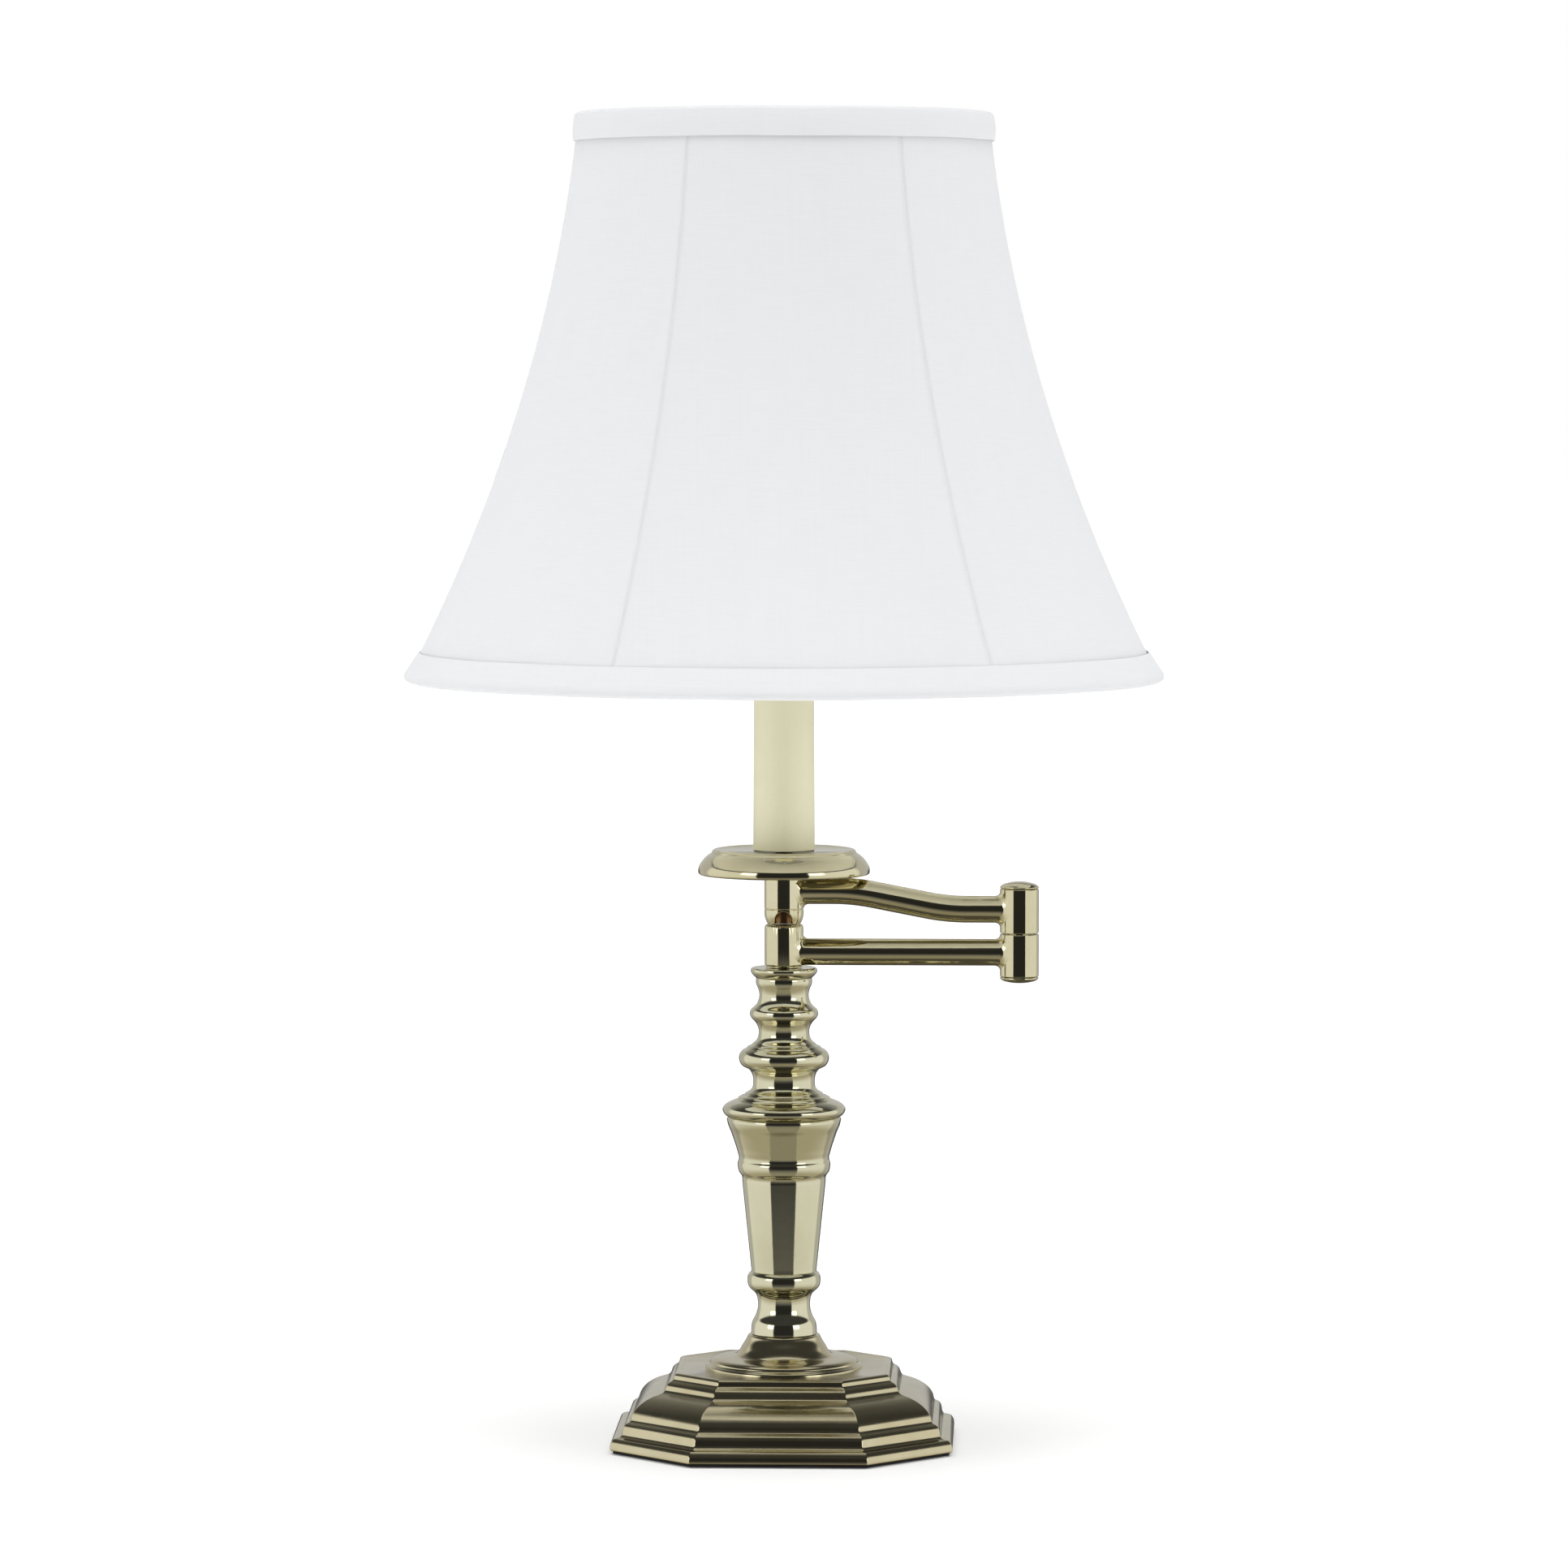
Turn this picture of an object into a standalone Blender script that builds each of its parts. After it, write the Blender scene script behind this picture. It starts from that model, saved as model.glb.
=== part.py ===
"""A swing-arm table lamp: stepped base, turned column, folding double arm, candle, harp and bell shade.

Sizes are in millimetres, and heights are measured from the table. MM turns them into metres. The origin is
the middle of the underside of the base, +Z is up, the folded arms reach along +X and the front is -Y.
"""

import math

import bmesh
import bpy

MM = 0.001
GAP = 0.3  # between pieces that touch
ROUND = 24  # sides of a large turned piece
SMALL_ROUND = 16
SMOOTH_BELOW = math.radians(38)

# Base and column
BASE_HALF = 91.0
CORNER_REACH = 6.5  # how much further out the cut corners lie than the flat sides
FELT_THICK = 1.5
BASE_FOOT = FELT_THICK + GAP
BASE_TOP = 41.0
COLLAR_TOP = 58.3
NECK_TOP = 92.0
CONE_TOP = 176.0
SPINDLE_TOP = 256.0

# Threaded lamp pipe, and the clearance hole that every piece on it has
PIPE = 4.8
PIPE_BORE = 3.4
PIPE_HOLE = 5.3
NUT_HOLE = 5.2

# Swivels: a hollow stem that a knuckle turns on, kept by a washer and a nut in a counterbore
STEM = 5.9
KNUCKLE_BORE = 6.3
COUNTERBORE = 8.5
SWIVEL_NUT_FLATS = 14.0
SWIVEL_NUT_HOLE = 6.25

# Arms
ARM_REACH = 126.0  # from one hinge axis to the next
KNUCKLE = 10.4
HEAD_KNUCKLE = 10.55
TUBE = 7.2
TUBE_BORE = 5.6
WIRE_WAY = 4.8
LOWER_ARM_HEIGHT = 264.4
UPPER_ARM_HEAD = 297.4
UPPER_ARM_ELBOW = 287.3
BEND_START = 37.3
BEND_END = 87.3
BEND_RADIUS = 110.0
ELBOW_SEAM = 274.4

# Head
PAN_DISH = 318.9
CANDLE_FOOT = PAN_DISH + GAP
CANDLE_TOP = 452.0
SADDLE_HEIGHT = 455.6
HARP_LEG = 22.5  # from the lamp's axis
HARP_WIRE = 1.6
HARP_TOP = 683.0
SWITCH_HEIGHT = 481.0

# Shade
SHADE_TOP = 712.0
SHADE_FOOT = 410.0
BELL_TOP = 697.0  # where the bell starts, at the lower edge of the top band
BELL_RADIUS = 110.6
BELL_SLOPE = 0.119
BELL_FLARE = 0.00069
SHADE_TURN = 5.2  # degrees about the lamp's axis
RIBS = 6
COLUMNS = 24
FLATTEN = 0.3  # how far the cover goes from a round section towards straight lines between the ribs
COVER_THICK = 1.0
RIB_INSET = 2.9
LINING_INSET = 4.9
LINING_THICK = 0.8
RIB_WIRE = 1.2
RING_WIRE = 1.4

FINISHES = {
    "polished_brass": ((0.66, 0.60, 0.41), 0.08, 1.0),
    "satin_brass": ((0.60, 0.55, 0.38), 0.28, 1.0),
    "brown_copper": ((0.26, 0.12, 0.06), 0.30, 1.0),
    "zinc_steel": ((0.52, 0.52, 0.50), 0.35, 1.0),
    "cast_iron": ((0.05, 0.05, 0.05), 0.70, 0.8),
    "aluminium": ((0.72, 0.72, 0.73), 0.30, 1.0),
    "black_felt": ((0.012, 0.012, 0.013), 0.95, 0.0),
    "black_plastic": ((0.02, 0.02, 0.02), 0.45, 0.0),
    "fibre_card": ((0.45, 0.33, 0.20), 0.80, 0.0),
    "white_wire": ((0.75, 0.75, 0.73), 0.45, 0.0),
    "white_linen": ((0.80, 0.81, 0.83), 0.90, 0.0),
    "white_lining": ((0.76, 0.76, 0.76), 0.80, 0.0),
    "opal_glass": ((0.88, 0.88, 0.86), 0.25, 0.0),
}


def clear_scene():
    for old in list(bpy.data.objects):
        bpy.data.objects.remove(old)


def new_collection(name):
    made = bpy.data.collections.new(name)
    bpy.context.scene.collection.children.link(made)
    return made


clear_scene()
LAMP = new_collection("swing_arm_table_lamp")
CUTTERS = new_collection("cutters")


def finish(name):
    """The material of that name, made the first time it is asked for."""
    found = bpy.data.materials.get(name)
    if found:
        return found
    colour, roughness, metallic = FINISHES[name]
    made = bpy.data.materials.new(name)
    made.use_nodes = True
    shader = made.node_tree.nodes["Principled BSDF"]
    shader.inputs["Base Color"].default_value = (*colour, 1.0)
    shader.inputs["Roughness"].default_value = roughness
    shader.inputs["Metallic"].default_value = metallic
    return made


def add_axis(name, parent, place=(0, 0, 0), turn=(0, 0, 0)):
    """An empty on a hinge axis or a centre line, which the pieces on it are parented to."""
    axis = bpy.data.objects.new(name, None)
    axis.parent = parent
    axis.location = [MM * value for value in place]
    axis.rotation_euler = [math.radians(angle) for angle in turn]
    LAMP.objects.link(axis)
    return axis


def add_piece(name, mesh, axis, material, place=(0, 0, 0), turn=(0, 0, 0)):
    """A sub-part of the lamp, or a cutter where there is no material."""
    piece = bpy.data.objects.new(name, mesh)
    piece.parent = axis
    piece.location = [MM * value for value in place]
    piece.rotation_euler = [math.radians(angle) for angle in turn]
    if material:
        mesh.materials.append(finish(material))
        LAMP.objects.link(piece)
    else:
        piece.hide_render = True
        piece.display_type = "WIRE"
        CUTTERS.objects.link(piece)
    return piece


def boolean(piece, operation, *tools):
    """Joins every tool to the piece, or cuts them all from it."""
    for tool in tools:
        modifier = piece.modifiers.new(tool.name, "BOOLEAN")
        modifier.operation = operation
        modifier.solver = "EXACT"
        modifier.object = tool
    return piece


def turned(name, outline, axis, material, sides=SMALL_ROUND, place=(0, 0)):
    """A turned piece. The outline of (radius, height) points runs down the outer side, then back up the bore
    or to the axis, and the piece's own origin is at its foot."""
    foot = min(height for _, height in outline)
    points = [(radius * MM, 0, (height - foot) * MM) for radius, height in outline]
    edges = [(i, i + 1) for i in range(len(points) - 1)]
    has_bore = min(radius for radius, _ in outline) > 0
    if has_bore:
        edges.append((len(points) - 1, 0))
    mesh = bpy.data.meshes.new(name)
    mesh.from_pydata(points, edges, [])
    piece = add_piece(name, mesh, axis, material, (*place, foot))
    screw = piece.modifiers.new("turn", "SCREW")
    screw.steps = sides
    screw.render_steps = sides
    screw.use_merge_vertices = True
    screw.merge_threshold = 0.00001
    return piece


def sleeve(name, radius, bore, foot, top, axis, material):
    """A plain tube, washer or bush."""
    return turned(name, [(radius, top), (radius, foot), (bore, foot), (bore, top)], axis, material)


def drum(name, radius, foot, top, axis, material=None, sides=SMALL_ROUND, place=(0, 0)):
    """A plain solid cylinder, which stands from foot to top along its own axis."""
    shape = bmesh.new()
    bmesh.ops.create_cone(
        shape,
        cap_ends=True,
        segments=sides,
        radius1=radius * MM,
        radius2=radius * MM,
        depth=(top - foot) * MM,
    )
    bmesh.ops.translate(shape, verts=shape.verts, vec=(0, 0, (top + foot) / 2 * MM))
    mesh = bpy.data.meshes.new(name)
    shape.to_mesh(mesh)
    shape.free()
    return add_piece(name, mesh, axis, material, (*place, 0))


def hex_nut(name, flats, hole, foot, top, axis):
    """A plain six-sided nut of that size across its flats."""
    nut = drum(name, flats / 2 / math.cos(math.pi / 6), foot, top, axis, "zinc_steel", sides=6)
    return boolean(nut, "DIFFERENCE", drum(name + "_hole", hole, foot - 1, top + 1, axis))


def mesh_of_curve(curve):
    """The curve as a closed mesh, with the rims of its caps welded. The curve is removed."""
    holder = bpy.data.objects.new(curve.name, curve)
    CUTTERS.objects.link(holder)
    depsgraph = bpy.context.evaluated_depsgraph_get()
    mesh = bpy.data.meshes.new_from_object(holder.evaluated_get(depsgraph))
    shape = bmesh.new()
    shape.from_mesh(mesh)
    bmesh.ops.remove_doubles(shape, verts=shape.verts, dist=0.00001)
    bmesh.ops.recalc_face_normals(shape, faces=shape.faces)
    shape.to_mesh(mesh)
    shape.free()
    bpy.data.objects.remove(holder)
    bpy.data.curves.remove(curve)
    return mesh


def poly_curve(name, path, cyclic=False):
    curve = bpy.data.curves.new(name, "CURVE")
    line = curve.splines.new("POLY")
    line.points.add(len(path) - 1)
    for point, place in zip(line.points, path):
        point.co = (*(MM * value for value in place), 1)
    line.use_cyclic_u = cyclic
    return curve


def rod(name, path, radius, axis, material, sides=8, turn=(0, 0, 0)):
    """A round bar, tube or wire along a path of (x, y, z) points."""
    curve = poly_curve(name, path)
    curve.dimensions = "3D"
    curve.bevel_depth = radius * MM
    curve.bevel_resolution = (sides - 4) // 2
    curve.use_fill_caps = True
    return add_piece(name, mesh_of_curve(curve), axis, material, turn=turn)


def plate(name, outline, thick, axis, material, place=(0, 0, 0), turn=(0, 0, 0)):
    """A flat plate of that (x, y) outline, with its middle at place."""
    curve = poly_curve(name, [(x, y, 0) for x, y in outline], cyclic=True)
    curve.dimensions = "2D"
    curve.fill_mode = "BOTH"
    curve.extrude = thick / 2 * MM
    return add_piece(name, mesh_of_curve(curve), axis, material, place, turn)


def arc(centre, radius, start, end, steps):
    """Points on an arc, with its angles in degrees from the first axis."""
    angles = [math.radians(start + (end - start) * i / steps) for i in range(steps + 1)]
    return [(centre[0] + radius * math.cos(a), centre[1] + radius * math.sin(a)) for a in angles]


def stadium(width, height, steps=6):
    """An outline with straight long sides and half-round ends."""
    reach = (width - height) / 2
    return arc((reach, 0), height / 2, -90, 90, steps) + arc((-reach, 0), height / 2, 90, 270, steps)


# ---------------------------------------------------------------- base


def octagon(half):
    """A square of that half width with its corners cut. The border between two such outlines is the same
    width all round."""
    end = math.sqrt(2) * (half + CORNER_REACH) - half
    quarter = [(half, -end), (half, end)]
    corners = []
    for _ in range(4):
        corners += quarter
        quarter = [(-y, x) for x, y in quarter]
    return corners


def octagon_stack(name, stations, axis, material):
    """A stepped block whose (half width, height) stations run from its foot to its top."""
    shape = bmesh.new()
    rings = []
    for half, height in stations:
        rings.append([shape.verts.new((x * MM, y * MM, height * MM)) for x, y in octagon(half)])
    for low, high in zip(rings, rings[1:]):
        for i in range(8):
            shape.faces.new((low[i - 1], low[i], high[i], high[i - 1]))
    shape.faces.new(reversed(rings[0]))
    shape.faces.new(rings[-1])
    mesh = bpy.data.meshes.new(name)
    shape.to_mesh(mesh)
    shape.free()
    return add_piece(name, mesh, axis, material)


BASE_STATIONS = [
    (90.7, BASE_FOOT), (BASE_HALF, 2.2), (89.7, 7.4), (89.2, 7.9),  # fascia, wider at its foot
    (86.8, 8.4), (85.2, 9.3), (84.6, 10.6),  # cove
    (84.3, 12.6), (83.6, 14.7), (82.5, 15.8), (81.2, 16.4),  # small bead
    (80.4, 17.0), (79.7, 19.6), (78.4, 22.2), (75.9, 25.0), (72.4, 27.5), (68.5, 29.4), (65.0, 30.6),  # ovolo
    (63.2, 31.4), (62.3, 32.6),  # cove
    (61.8, 34.2), (61.1, 35.6), (59.8, 36.8), (58.1, 37.8),  # small bead
    (57.7, 38.8), (57.3, 40.4), (56.6, BASE_TOP),  # top edge
]
BASE_HOLLOW = [
    (87.0, 1.0), (87.0, 6.0), (81.0, 9.5), (77.0, 15.5),
    (75.5, 20.0), (70.0, 24.5), (62.0, 26.5), (57.5, 30.0), (53.5, 35.3),
]
COLLAR = [
    (0, COLLAR_TOP), (18.5, COLLAR_TOP), (19.3, 57.8), (19.7, 56.8), (22.1, 52.7), (24.5, 48.7),
    (25.7, 47.4), (27.6, 46.8), (31.5, 46.3), (36.0, 45.8), (38.3, 45.2), (39.5, 44.2), (39.8, 43.2),
    (40.6, 42.6), (41.6, 42.2), (42.2, 41.4), (42.2, 39.0), (0, 39.0),
]
BALLAST = [(50, 35), (50, 23.5), (68, 23.5), (68, 8), (5.6, 8), (5.6, 35)]
SLOT_HEIGHT = 5.1
SLOT_FACE = 89.6  # where the grommet's flange is let into the fascia


def build_base(axis):
    casting = octagon_stack("base_casting", BASE_STATIONS, axis, "satin_brass")
    boolean(casting, "UNION", turned("collar", COLLAR, axis, None, ROUND))
    hollow = octagon_stack("base_hollow", BASE_HOLLOW, axis, None)
    pipe_hole = drum("base_pipe_hole", PIPE_HOLE, 30, 62, axis)
    slot = plate("cord_slot", stadium(8.2, 4.4), 14, axis, None,
                 place=(0, SLOT_FACE, SLOT_HEIGHT), turn=(90, 0, 0))
    seat = plate("cord_seat", stadium(9.8, 6.0), 6, axis, None,
                 place=(0, SLOT_FACE + 3, SLOT_HEIGHT), turn=(90, 0, 0))
    boolean(casting, "DIFFERENCE", hollow, pipe_hole, slot, seat)

    plate("felt_pad", octagon(BASE_HALF - 1.5), FELT_THICK, axis, "black_felt", place=(0, 0, FELT_THICK / 2))
    turned("base_weight", BALLAST, axis, "cast_iron")
    sleeve("base_washer", 16, PIPE_HOLE, 6.2, 7.7, axis, "zinc_steel")
    hex_nut("base_nut", 15, NUT_HOLE, 2.6, 5.9, axis)

    outside = SLOT_FACE + GAP
    grommet = plate("cord_grommet", stadium(9.6, 5.8), 1.5, axis, "black_plastic",
                    place=(0, outside + 0.75, SLOT_HEIGHT), turn=(90, 0, 0))
    neck = plate("grommet_neck", stadium(7.4, 3.7), 6.2, axis, None,
                 place=(0, outside - 2.5, SLOT_HEIGHT), turn=(90, 0, 0))
    way = plate("grommet_way", stadium(5.8, 2.5), 20, axis, None,
                place=(0, outside - 2.5, SLOT_HEIGHT), turn=(90, 0, 0))
    boolean(grommet, "UNION", neck)
    boolean(grommet, "DIFFERENCE", way)


# ---------------------------------------------------------------- column

NECK = [
    (17.9, NECK_TOP), (18.9, 91.1), (19.5, 89.6), (19.6, 87.2), (19.3, 84.9), (18.2, 83.1),  # torus
    (16.2, 81.4), (14.9, 79.7), (14.2, 77.1), (14.0, 74.2), (14.3, 71.4), (15.4, 68.2), (16.9, 65.4),  # scotia
    (17.5, 62.6), (17.6, COLLAR_TOP + GAP),  # foot
]
CONE = [
    (29.9, CONE_TOP), (30.5, 175.2), (30.3, 172.4), (28.5, 167.6), (26.7, 162.4), (25.1, 157.2), (24.3, 152.6),
    (24.8, 151.5), (24.8, 148.4), (24.1, 145.9), (22.9, 144.3), (22.6, 143.6), (22.4, 140.6),  # ring
    (17.7, 95.0), (17.5, NECK_TOP + GAP),
]
CONE_HOLLOW = [(15.4, NECK_TOP + GAP), (20.6, 142.0), (22.4, 150.0), (26.6, 171.6)]
SPINDLE = [
    (17.1, SPINDLE_TOP), (17.8, 255.1), (17.8, 253.9), (17.0, 252.4), (15.5, 250.9), (14.9, 250.4),  # seat
    (14.9, 247.0), (14.0, 245.0), (13.3, 242.4), (13.2, 240.6), (13.8, 238.4), (14.8, 236.3),  # cove
    (16.1, 234.9), (17.6, 233.7), (18.2, 232.4), (18.2, 230.3), (17.2, 228.5), (15.6, 226.9),  # small bead
    (14.1, 224.3), (13.5, 221.4), (14.0, 218.6), (15.2, 216.5), (17.0, 215.1),  # cove
    (17.4, 214.4), (19.6, 213.5), (20.0, 212.8), (22.2, 211.6),  # two small steps
    (23.5, 210.1), (24.1, 208.3), (23.9, 205.6), (22.8, 203.6), (20.6, 202.2), (18.4, 200.8),  # large bead
    (17.0, 198.2), (16.5, 194.8), (16.9, 191.6), (18.6, 189.6), (20.8, 188.4),  # cove
    (21.3, 187.6), (24.4, 186.3), (24.9, 185.5), (28.6, 183.8), (31.6, 182.1),  # two small steps
    (32.9, 180.4), (32.8, 178.6), (31.9, 177.2), (30.7, CONE_TOP + GAP),  # rim
]
STEM_FOOT = 243.9


def build_column(axis):
    sleeve("column_pipe", PIPE, PIPE_BORE, 2.2, 247.5, axis, "zinc_steel")
    bore = [(PIPE_HOLE, COLLAR_TOP + GAP), (PIPE_HOLE, NECK_TOP)]
    turned("column_neck", NECK + bore, axis, "polished_brass", ROUND)
    web = [(PIPE_HOLE, 171.6), (PIPE_HOLE, CONE_TOP)]
    turned("column_cone", CONE + CONE_HOLLOW + web, axis, "polished_brass", ROUND)
    socket = STEM + 1
    foot = STEM_FOOT - 0.4
    bores = [(PIPE_HOLE, CONE_TOP + GAP), (PIPE_HOLE, foot), (socket, foot), (socket, SPINDLE_TOP)]
    turned("column_spindle", SPINDLE + bores, axis, "polished_brass", ROUND)


# ---------------------------------------------------------------- swivel and arms

SWIVEL_WASHER = (271.8, 272.6)
SWIVEL_NUT = (272.9, 276.6)
ELBOW_WASHER = (289.3, 290.3)
ELBOW_NUT = (290.6, 294.6)


def build_swivel_stem(axis):
    """The fixed half of the column's swivel."""
    outline = [
        (STEM, 277.2), (STEM, SPINDLE_TOP), (STEM + 0.6, SPINDLE_TOP), (STEM + 0.6, STEM_FOOT),
        (PIPE_HOLE, STEM_FOOT), (PIPE_HOLE, 248.2), (PIPE_BORE, 248.2), (PIPE_BORE, 277.2),
    ]
    turned("swivel_stem", outline, axis, "polished_brass")
    sleeve("swivel_bearing", 9.9, KNUCKLE_BORE, 256.3, 256.8, axis, "polished_brass")
    sleeve("swivel_washer", 8.1, KNUCKLE_BORE, *SWIVEL_WASHER, axis, "fibre_card")
    hex_nut("swivel_nut", SWIVEL_NUT_FLATS, SWIVEL_NUT_HOLE, *SWIVEL_NUT, axis)


def wire_way(name, axis, height, side):
    """A cutter through a knuckle's wall, on the side where its arm joins."""
    start = KNUCKLE_BORE - 1.5
    path = [(side * start, 0, height), (side * (KNUCKLE + 3), 0, height)]
    return rod(name, path, WIRE_WAY, axis, None, sides=12)


def arm_tube(name, path, axis, head_x, elbow_x):
    """A tube whose two ends are saddle-cut to fit round the knuckles."""
    ahead = (path[0][0] - 2, *path[0][1:])
    beyond = (path[-1][0] + 2, *path[-1][1:])
    tube = rod(name, path, TUBE, axis, "polished_brass", sides=14)
    bore = rod(name + "_bore", [ahead, *path[1:-1], beyond], TUBE_BORE, axis, None)
    saddles = [
        drum(name + "_saddle_" + end, HEAD_KNUCKLE + GAP, 230, 320, axis, place=(x, 0))
        for end, x in (("head", head_x), ("elbow", elbow_x))
    ]
    return boolean(tube, "DIFFERENCE", bore, *saddles)


def build_lower_arm(axis, elbow):
    """The arm on the column, with the fixed half of the elbow at its end."""
    knuckle = turned(
        "lower_knuckle",
        [(9.4, 279.2), (10.1, 278.6), (KNUCKLE, 277.4), (KNUCKLE, 258.0), (10.0, 257.1),
         (KNUCKLE_BORE, 257.1), (KNUCKLE_BORE, 271.5), (COUNTERBORE, 271.5), (COUNTERBORE, 279.2)],
        axis, "polished_brass",
    )
    boolean(knuckle, "DIFFERENCE", wire_way("lower_knuckle_way", axis, LOWER_ARM_HEIGHT, 1))
    drum("swivel_cover", 8.1, 277.5, 279.0, axis, "polished_brass")

    path = [(5, 0, LOWER_ARM_HEIGHT), (ARM_REACH - 5, 0, LOWER_ARM_HEIGHT)]
    arm_tube("lower_arm_tube", path, axis, 0, ARM_REACH)

    socket = turned(
        "elbow_lower_knuckle",
        [(10.1, ELBOW_SEAM), (KNUCKLE, ELBOW_SEAM - 0.3), (KNUCKLE, 251.9), (10.1, 251.6),
         (8.0, 251.6), (8.0, 255.0), (KNUCKLE_BORE, 255.0), (KNUCKLE_BORE, ELBOW_SEAM)],
        elbow, "polished_brass",
    )
    boolean(socket, "DIFFERENCE", wire_way("elbow_lower_way", elbow, LOWER_ARM_HEIGHT, -1))
    turned(
        "elbow_bottom_cap",
        [(0, 254.5), (7.6, 254.5), (7.6, 251.3), (10.2, 251.3), (KNUCKLE, 250.6), (9.2, 249.5),
         (6.4, 248.6), (3.2, 248.1), (0, 248.0)],
        elbow, "polished_brass",
    )
    sleeve("elbow_stud", STEM, 3.9, 255.3, 295.4, elbow, "polished_brass")
    sleeve("elbow_washer", 8.1, KNUCKLE_BORE, *ELBOW_WASHER, elbow, "fibre_card")
    hex_nut("elbow_nut", SWIVEL_NUT_FLATS, SWIVEL_NUT_HOLE, *ELBOW_NUT, elbow)


def upper_arm_path():
    """The upper arm slants down between two bends, so that it lies close over the lower arm at the elbow."""
    slope = math.atan2(UPPER_ARM_HEAD - UPPER_ARM_ELBOW, BEND_END - BEND_START)
    turn = math.degrees(slope)
    reach = BEND_RADIUS * math.tan(slope / 2)
    first = arc((BEND_START - reach, UPPER_ARM_HEAD - BEND_RADIUS), BEND_RADIUS, 90, 90 - turn, 4)
    second = arc((BEND_END + reach, UPPER_ARM_ELBOW + BEND_RADIUS), BEND_RADIUS, 270 - turn, 270, 4)
    bends = [(x, 0, z) for x, z in first + second]
    return [(5, 0, UPPER_ARM_HEAD), *bends, (ARM_REACH - 5, 0, UPPER_ARM_ELBOW)]


def build_upper_arm(axis, elbow):
    """The arm on the elbow. Its own pieces are on the head's axis, which lies over the column when folded."""
    cup = turned(
        "elbow_upper_knuckle",
        [(10.1, 298.6), (KNUCKLE, 298.3), (KNUCKLE, 275.2), (10.1, 274.9), (KNUCKLE_BORE, 274.9),
         (KNUCKLE_BORE, 289.0), (COUNTERBORE, 289.0), (COUNTERBORE, 298.6)],
        elbow, "polished_brass",
    )
    boolean(cup, "DIFFERENCE", wire_way("elbow_upper_way", elbow, UPPER_ARM_ELBOW, -1))
    turned(
        "elbow_top_cap",
        [(0, 302.5), (3.4, 302.3), (6.8, 301.6), (9.4, 300.6), (KNUCKLE, 299.6), (10.2, 298.9),
         (8.1, 298.9), (8.1, 296.4), (0, 296.4)],
        elbow, "polished_brass",
    )
    arm_tube("upper_arm_tube", upper_arm_path(), axis, 0, ARM_REACH)


# ---------------------------------------------------------------- head


def build_head(axis):
    knuckle = turned(
        "head_knuckle",
        [(HEAD_KNUCKLE, 317.0), (HEAD_KNUCKLE, 286.6), (10.35, 283.6), (9.7, 281.3), (8.8, 279.5),
         (7.3, 279.5), (7.3, 288.4), (PIPE_HOLE, 288.4), (PIPE_HOLE, 317.0)],
        axis, "polished_brass",
    )
    arch = arc((0, 0), 4.5, 0, 180, 10) + [(-4.5, -6.0), (4.5, -6.0)]
    notch = plate("notch", arch, 9, axis, None, place=(0, -10.5, 282.0), turn=(90, 0, 0))
    boolean(knuckle, "DIFFERENCE", notch, wire_way("head_way", axis, UPPER_ARM_HEAD, 1))
    sleeve("head_bushing", 6.9, NUT_HOLE, 279.9, 288.1, axis, "brown_copper")
    sleeve("candle_pipe", PIPE, PIPE_BORE, 280.4, 462.0, axis, "zinc_steel")

    turned(
        "drip_pan",
        [(PIPE_HOLE, PAN_DISH), (33.8, PAN_DISH), (35.6, 319.3), (37.0, 319.6), (38.0, 319.2), (38.6, 318.3),
         (38.9, 317.5), (40.4, 316.6), (42.3, 315.0), (44.1, 312.8), (45.6, 310.2), (46.0, 307.8),
         (45.8, 306.6), (44.9, 306.0), (44.2, 306.5), (44.4, 308.4), (42.9, 311.7), (40.6, 314.4),
         (37.6, 316.0), (35.6, 317.3), (PIPE_HOLE, 317.3)],
        axis, "polished_brass", ROUND,
    )
    hex_nut("pan_nut", 15, NUT_HOLE, CANDLE_FOOT, 322.6, axis)
    turned(
        "candle_tube",
        [(15.8, CANDLE_TOP), (16.0, 396.0), (16.5, CANDLE_FOOT), (14.9, CANDLE_FOOT), (14.9, CANDLE_TOP)],
        axis, "satin_brass",
    )
    turned(
        "candle_cap",
        [(PIPE_HOLE, 455.3), (15.3, 455.3), (15.8, 454.8), (15.8, 452.3), (14.5, 452.3), (14.5, 449.5),
         (PIPE_HOLE, 449.5)],
        axis, "satin_brass",
    )


def build_socket(axis, switch):
    turned(
        "socket_cap",
        [(16.4, 474.5), (16.2, 470.0), (13.8, 462.6), (9.0, 457.5), (PIPE_HOLE, 457.5),
         (PIPE_HOLE, 458.5), (8.6, 458.5), (13.0, 463.2), (15.4, 470.2), (15.6, 474.5)],
        axis, "polished_brass",
    )
    shaft_way = drum("shaft_way", 2.6, 7, 30, switch, sides=10)
    shell = sleeve("socket_shell", 16.4, 15.8, 474.8, 512.0, axis, "polished_brass")
    liner = sleeve("socket_liner", 15.4, 14.8, 475.6, 513.4, axis, "fibre_card")
    block = drum("socket_body", 14.1, 475.3, 487.0, axis, "black_plastic")
    for piece in (shell, liner, block):
        boolean(piece, "DIFFERENCE", shaft_way)
    turned(
        "screw_shell",
        [(14.2, 512.0), (14.2, 487.3), (8.0, 487.3), (8.0, 487.9), (13.6, 487.9), (13.6, 512.0)],
        axis, "aluminium",
    )
    drum("centre_contact", 3.0, 487.3, 488.6, axis, "polished_brass", sides=12)

    knob = plate("switch_knob", stadium(12.0, 4.4), 9.0, switch, "black_plastic", place=(0, 0, 23.5))
    boolean(knob, "UNION", drum("switch_shaft", 2.0, 8.0, 20.0, switch, sides=10))


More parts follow.
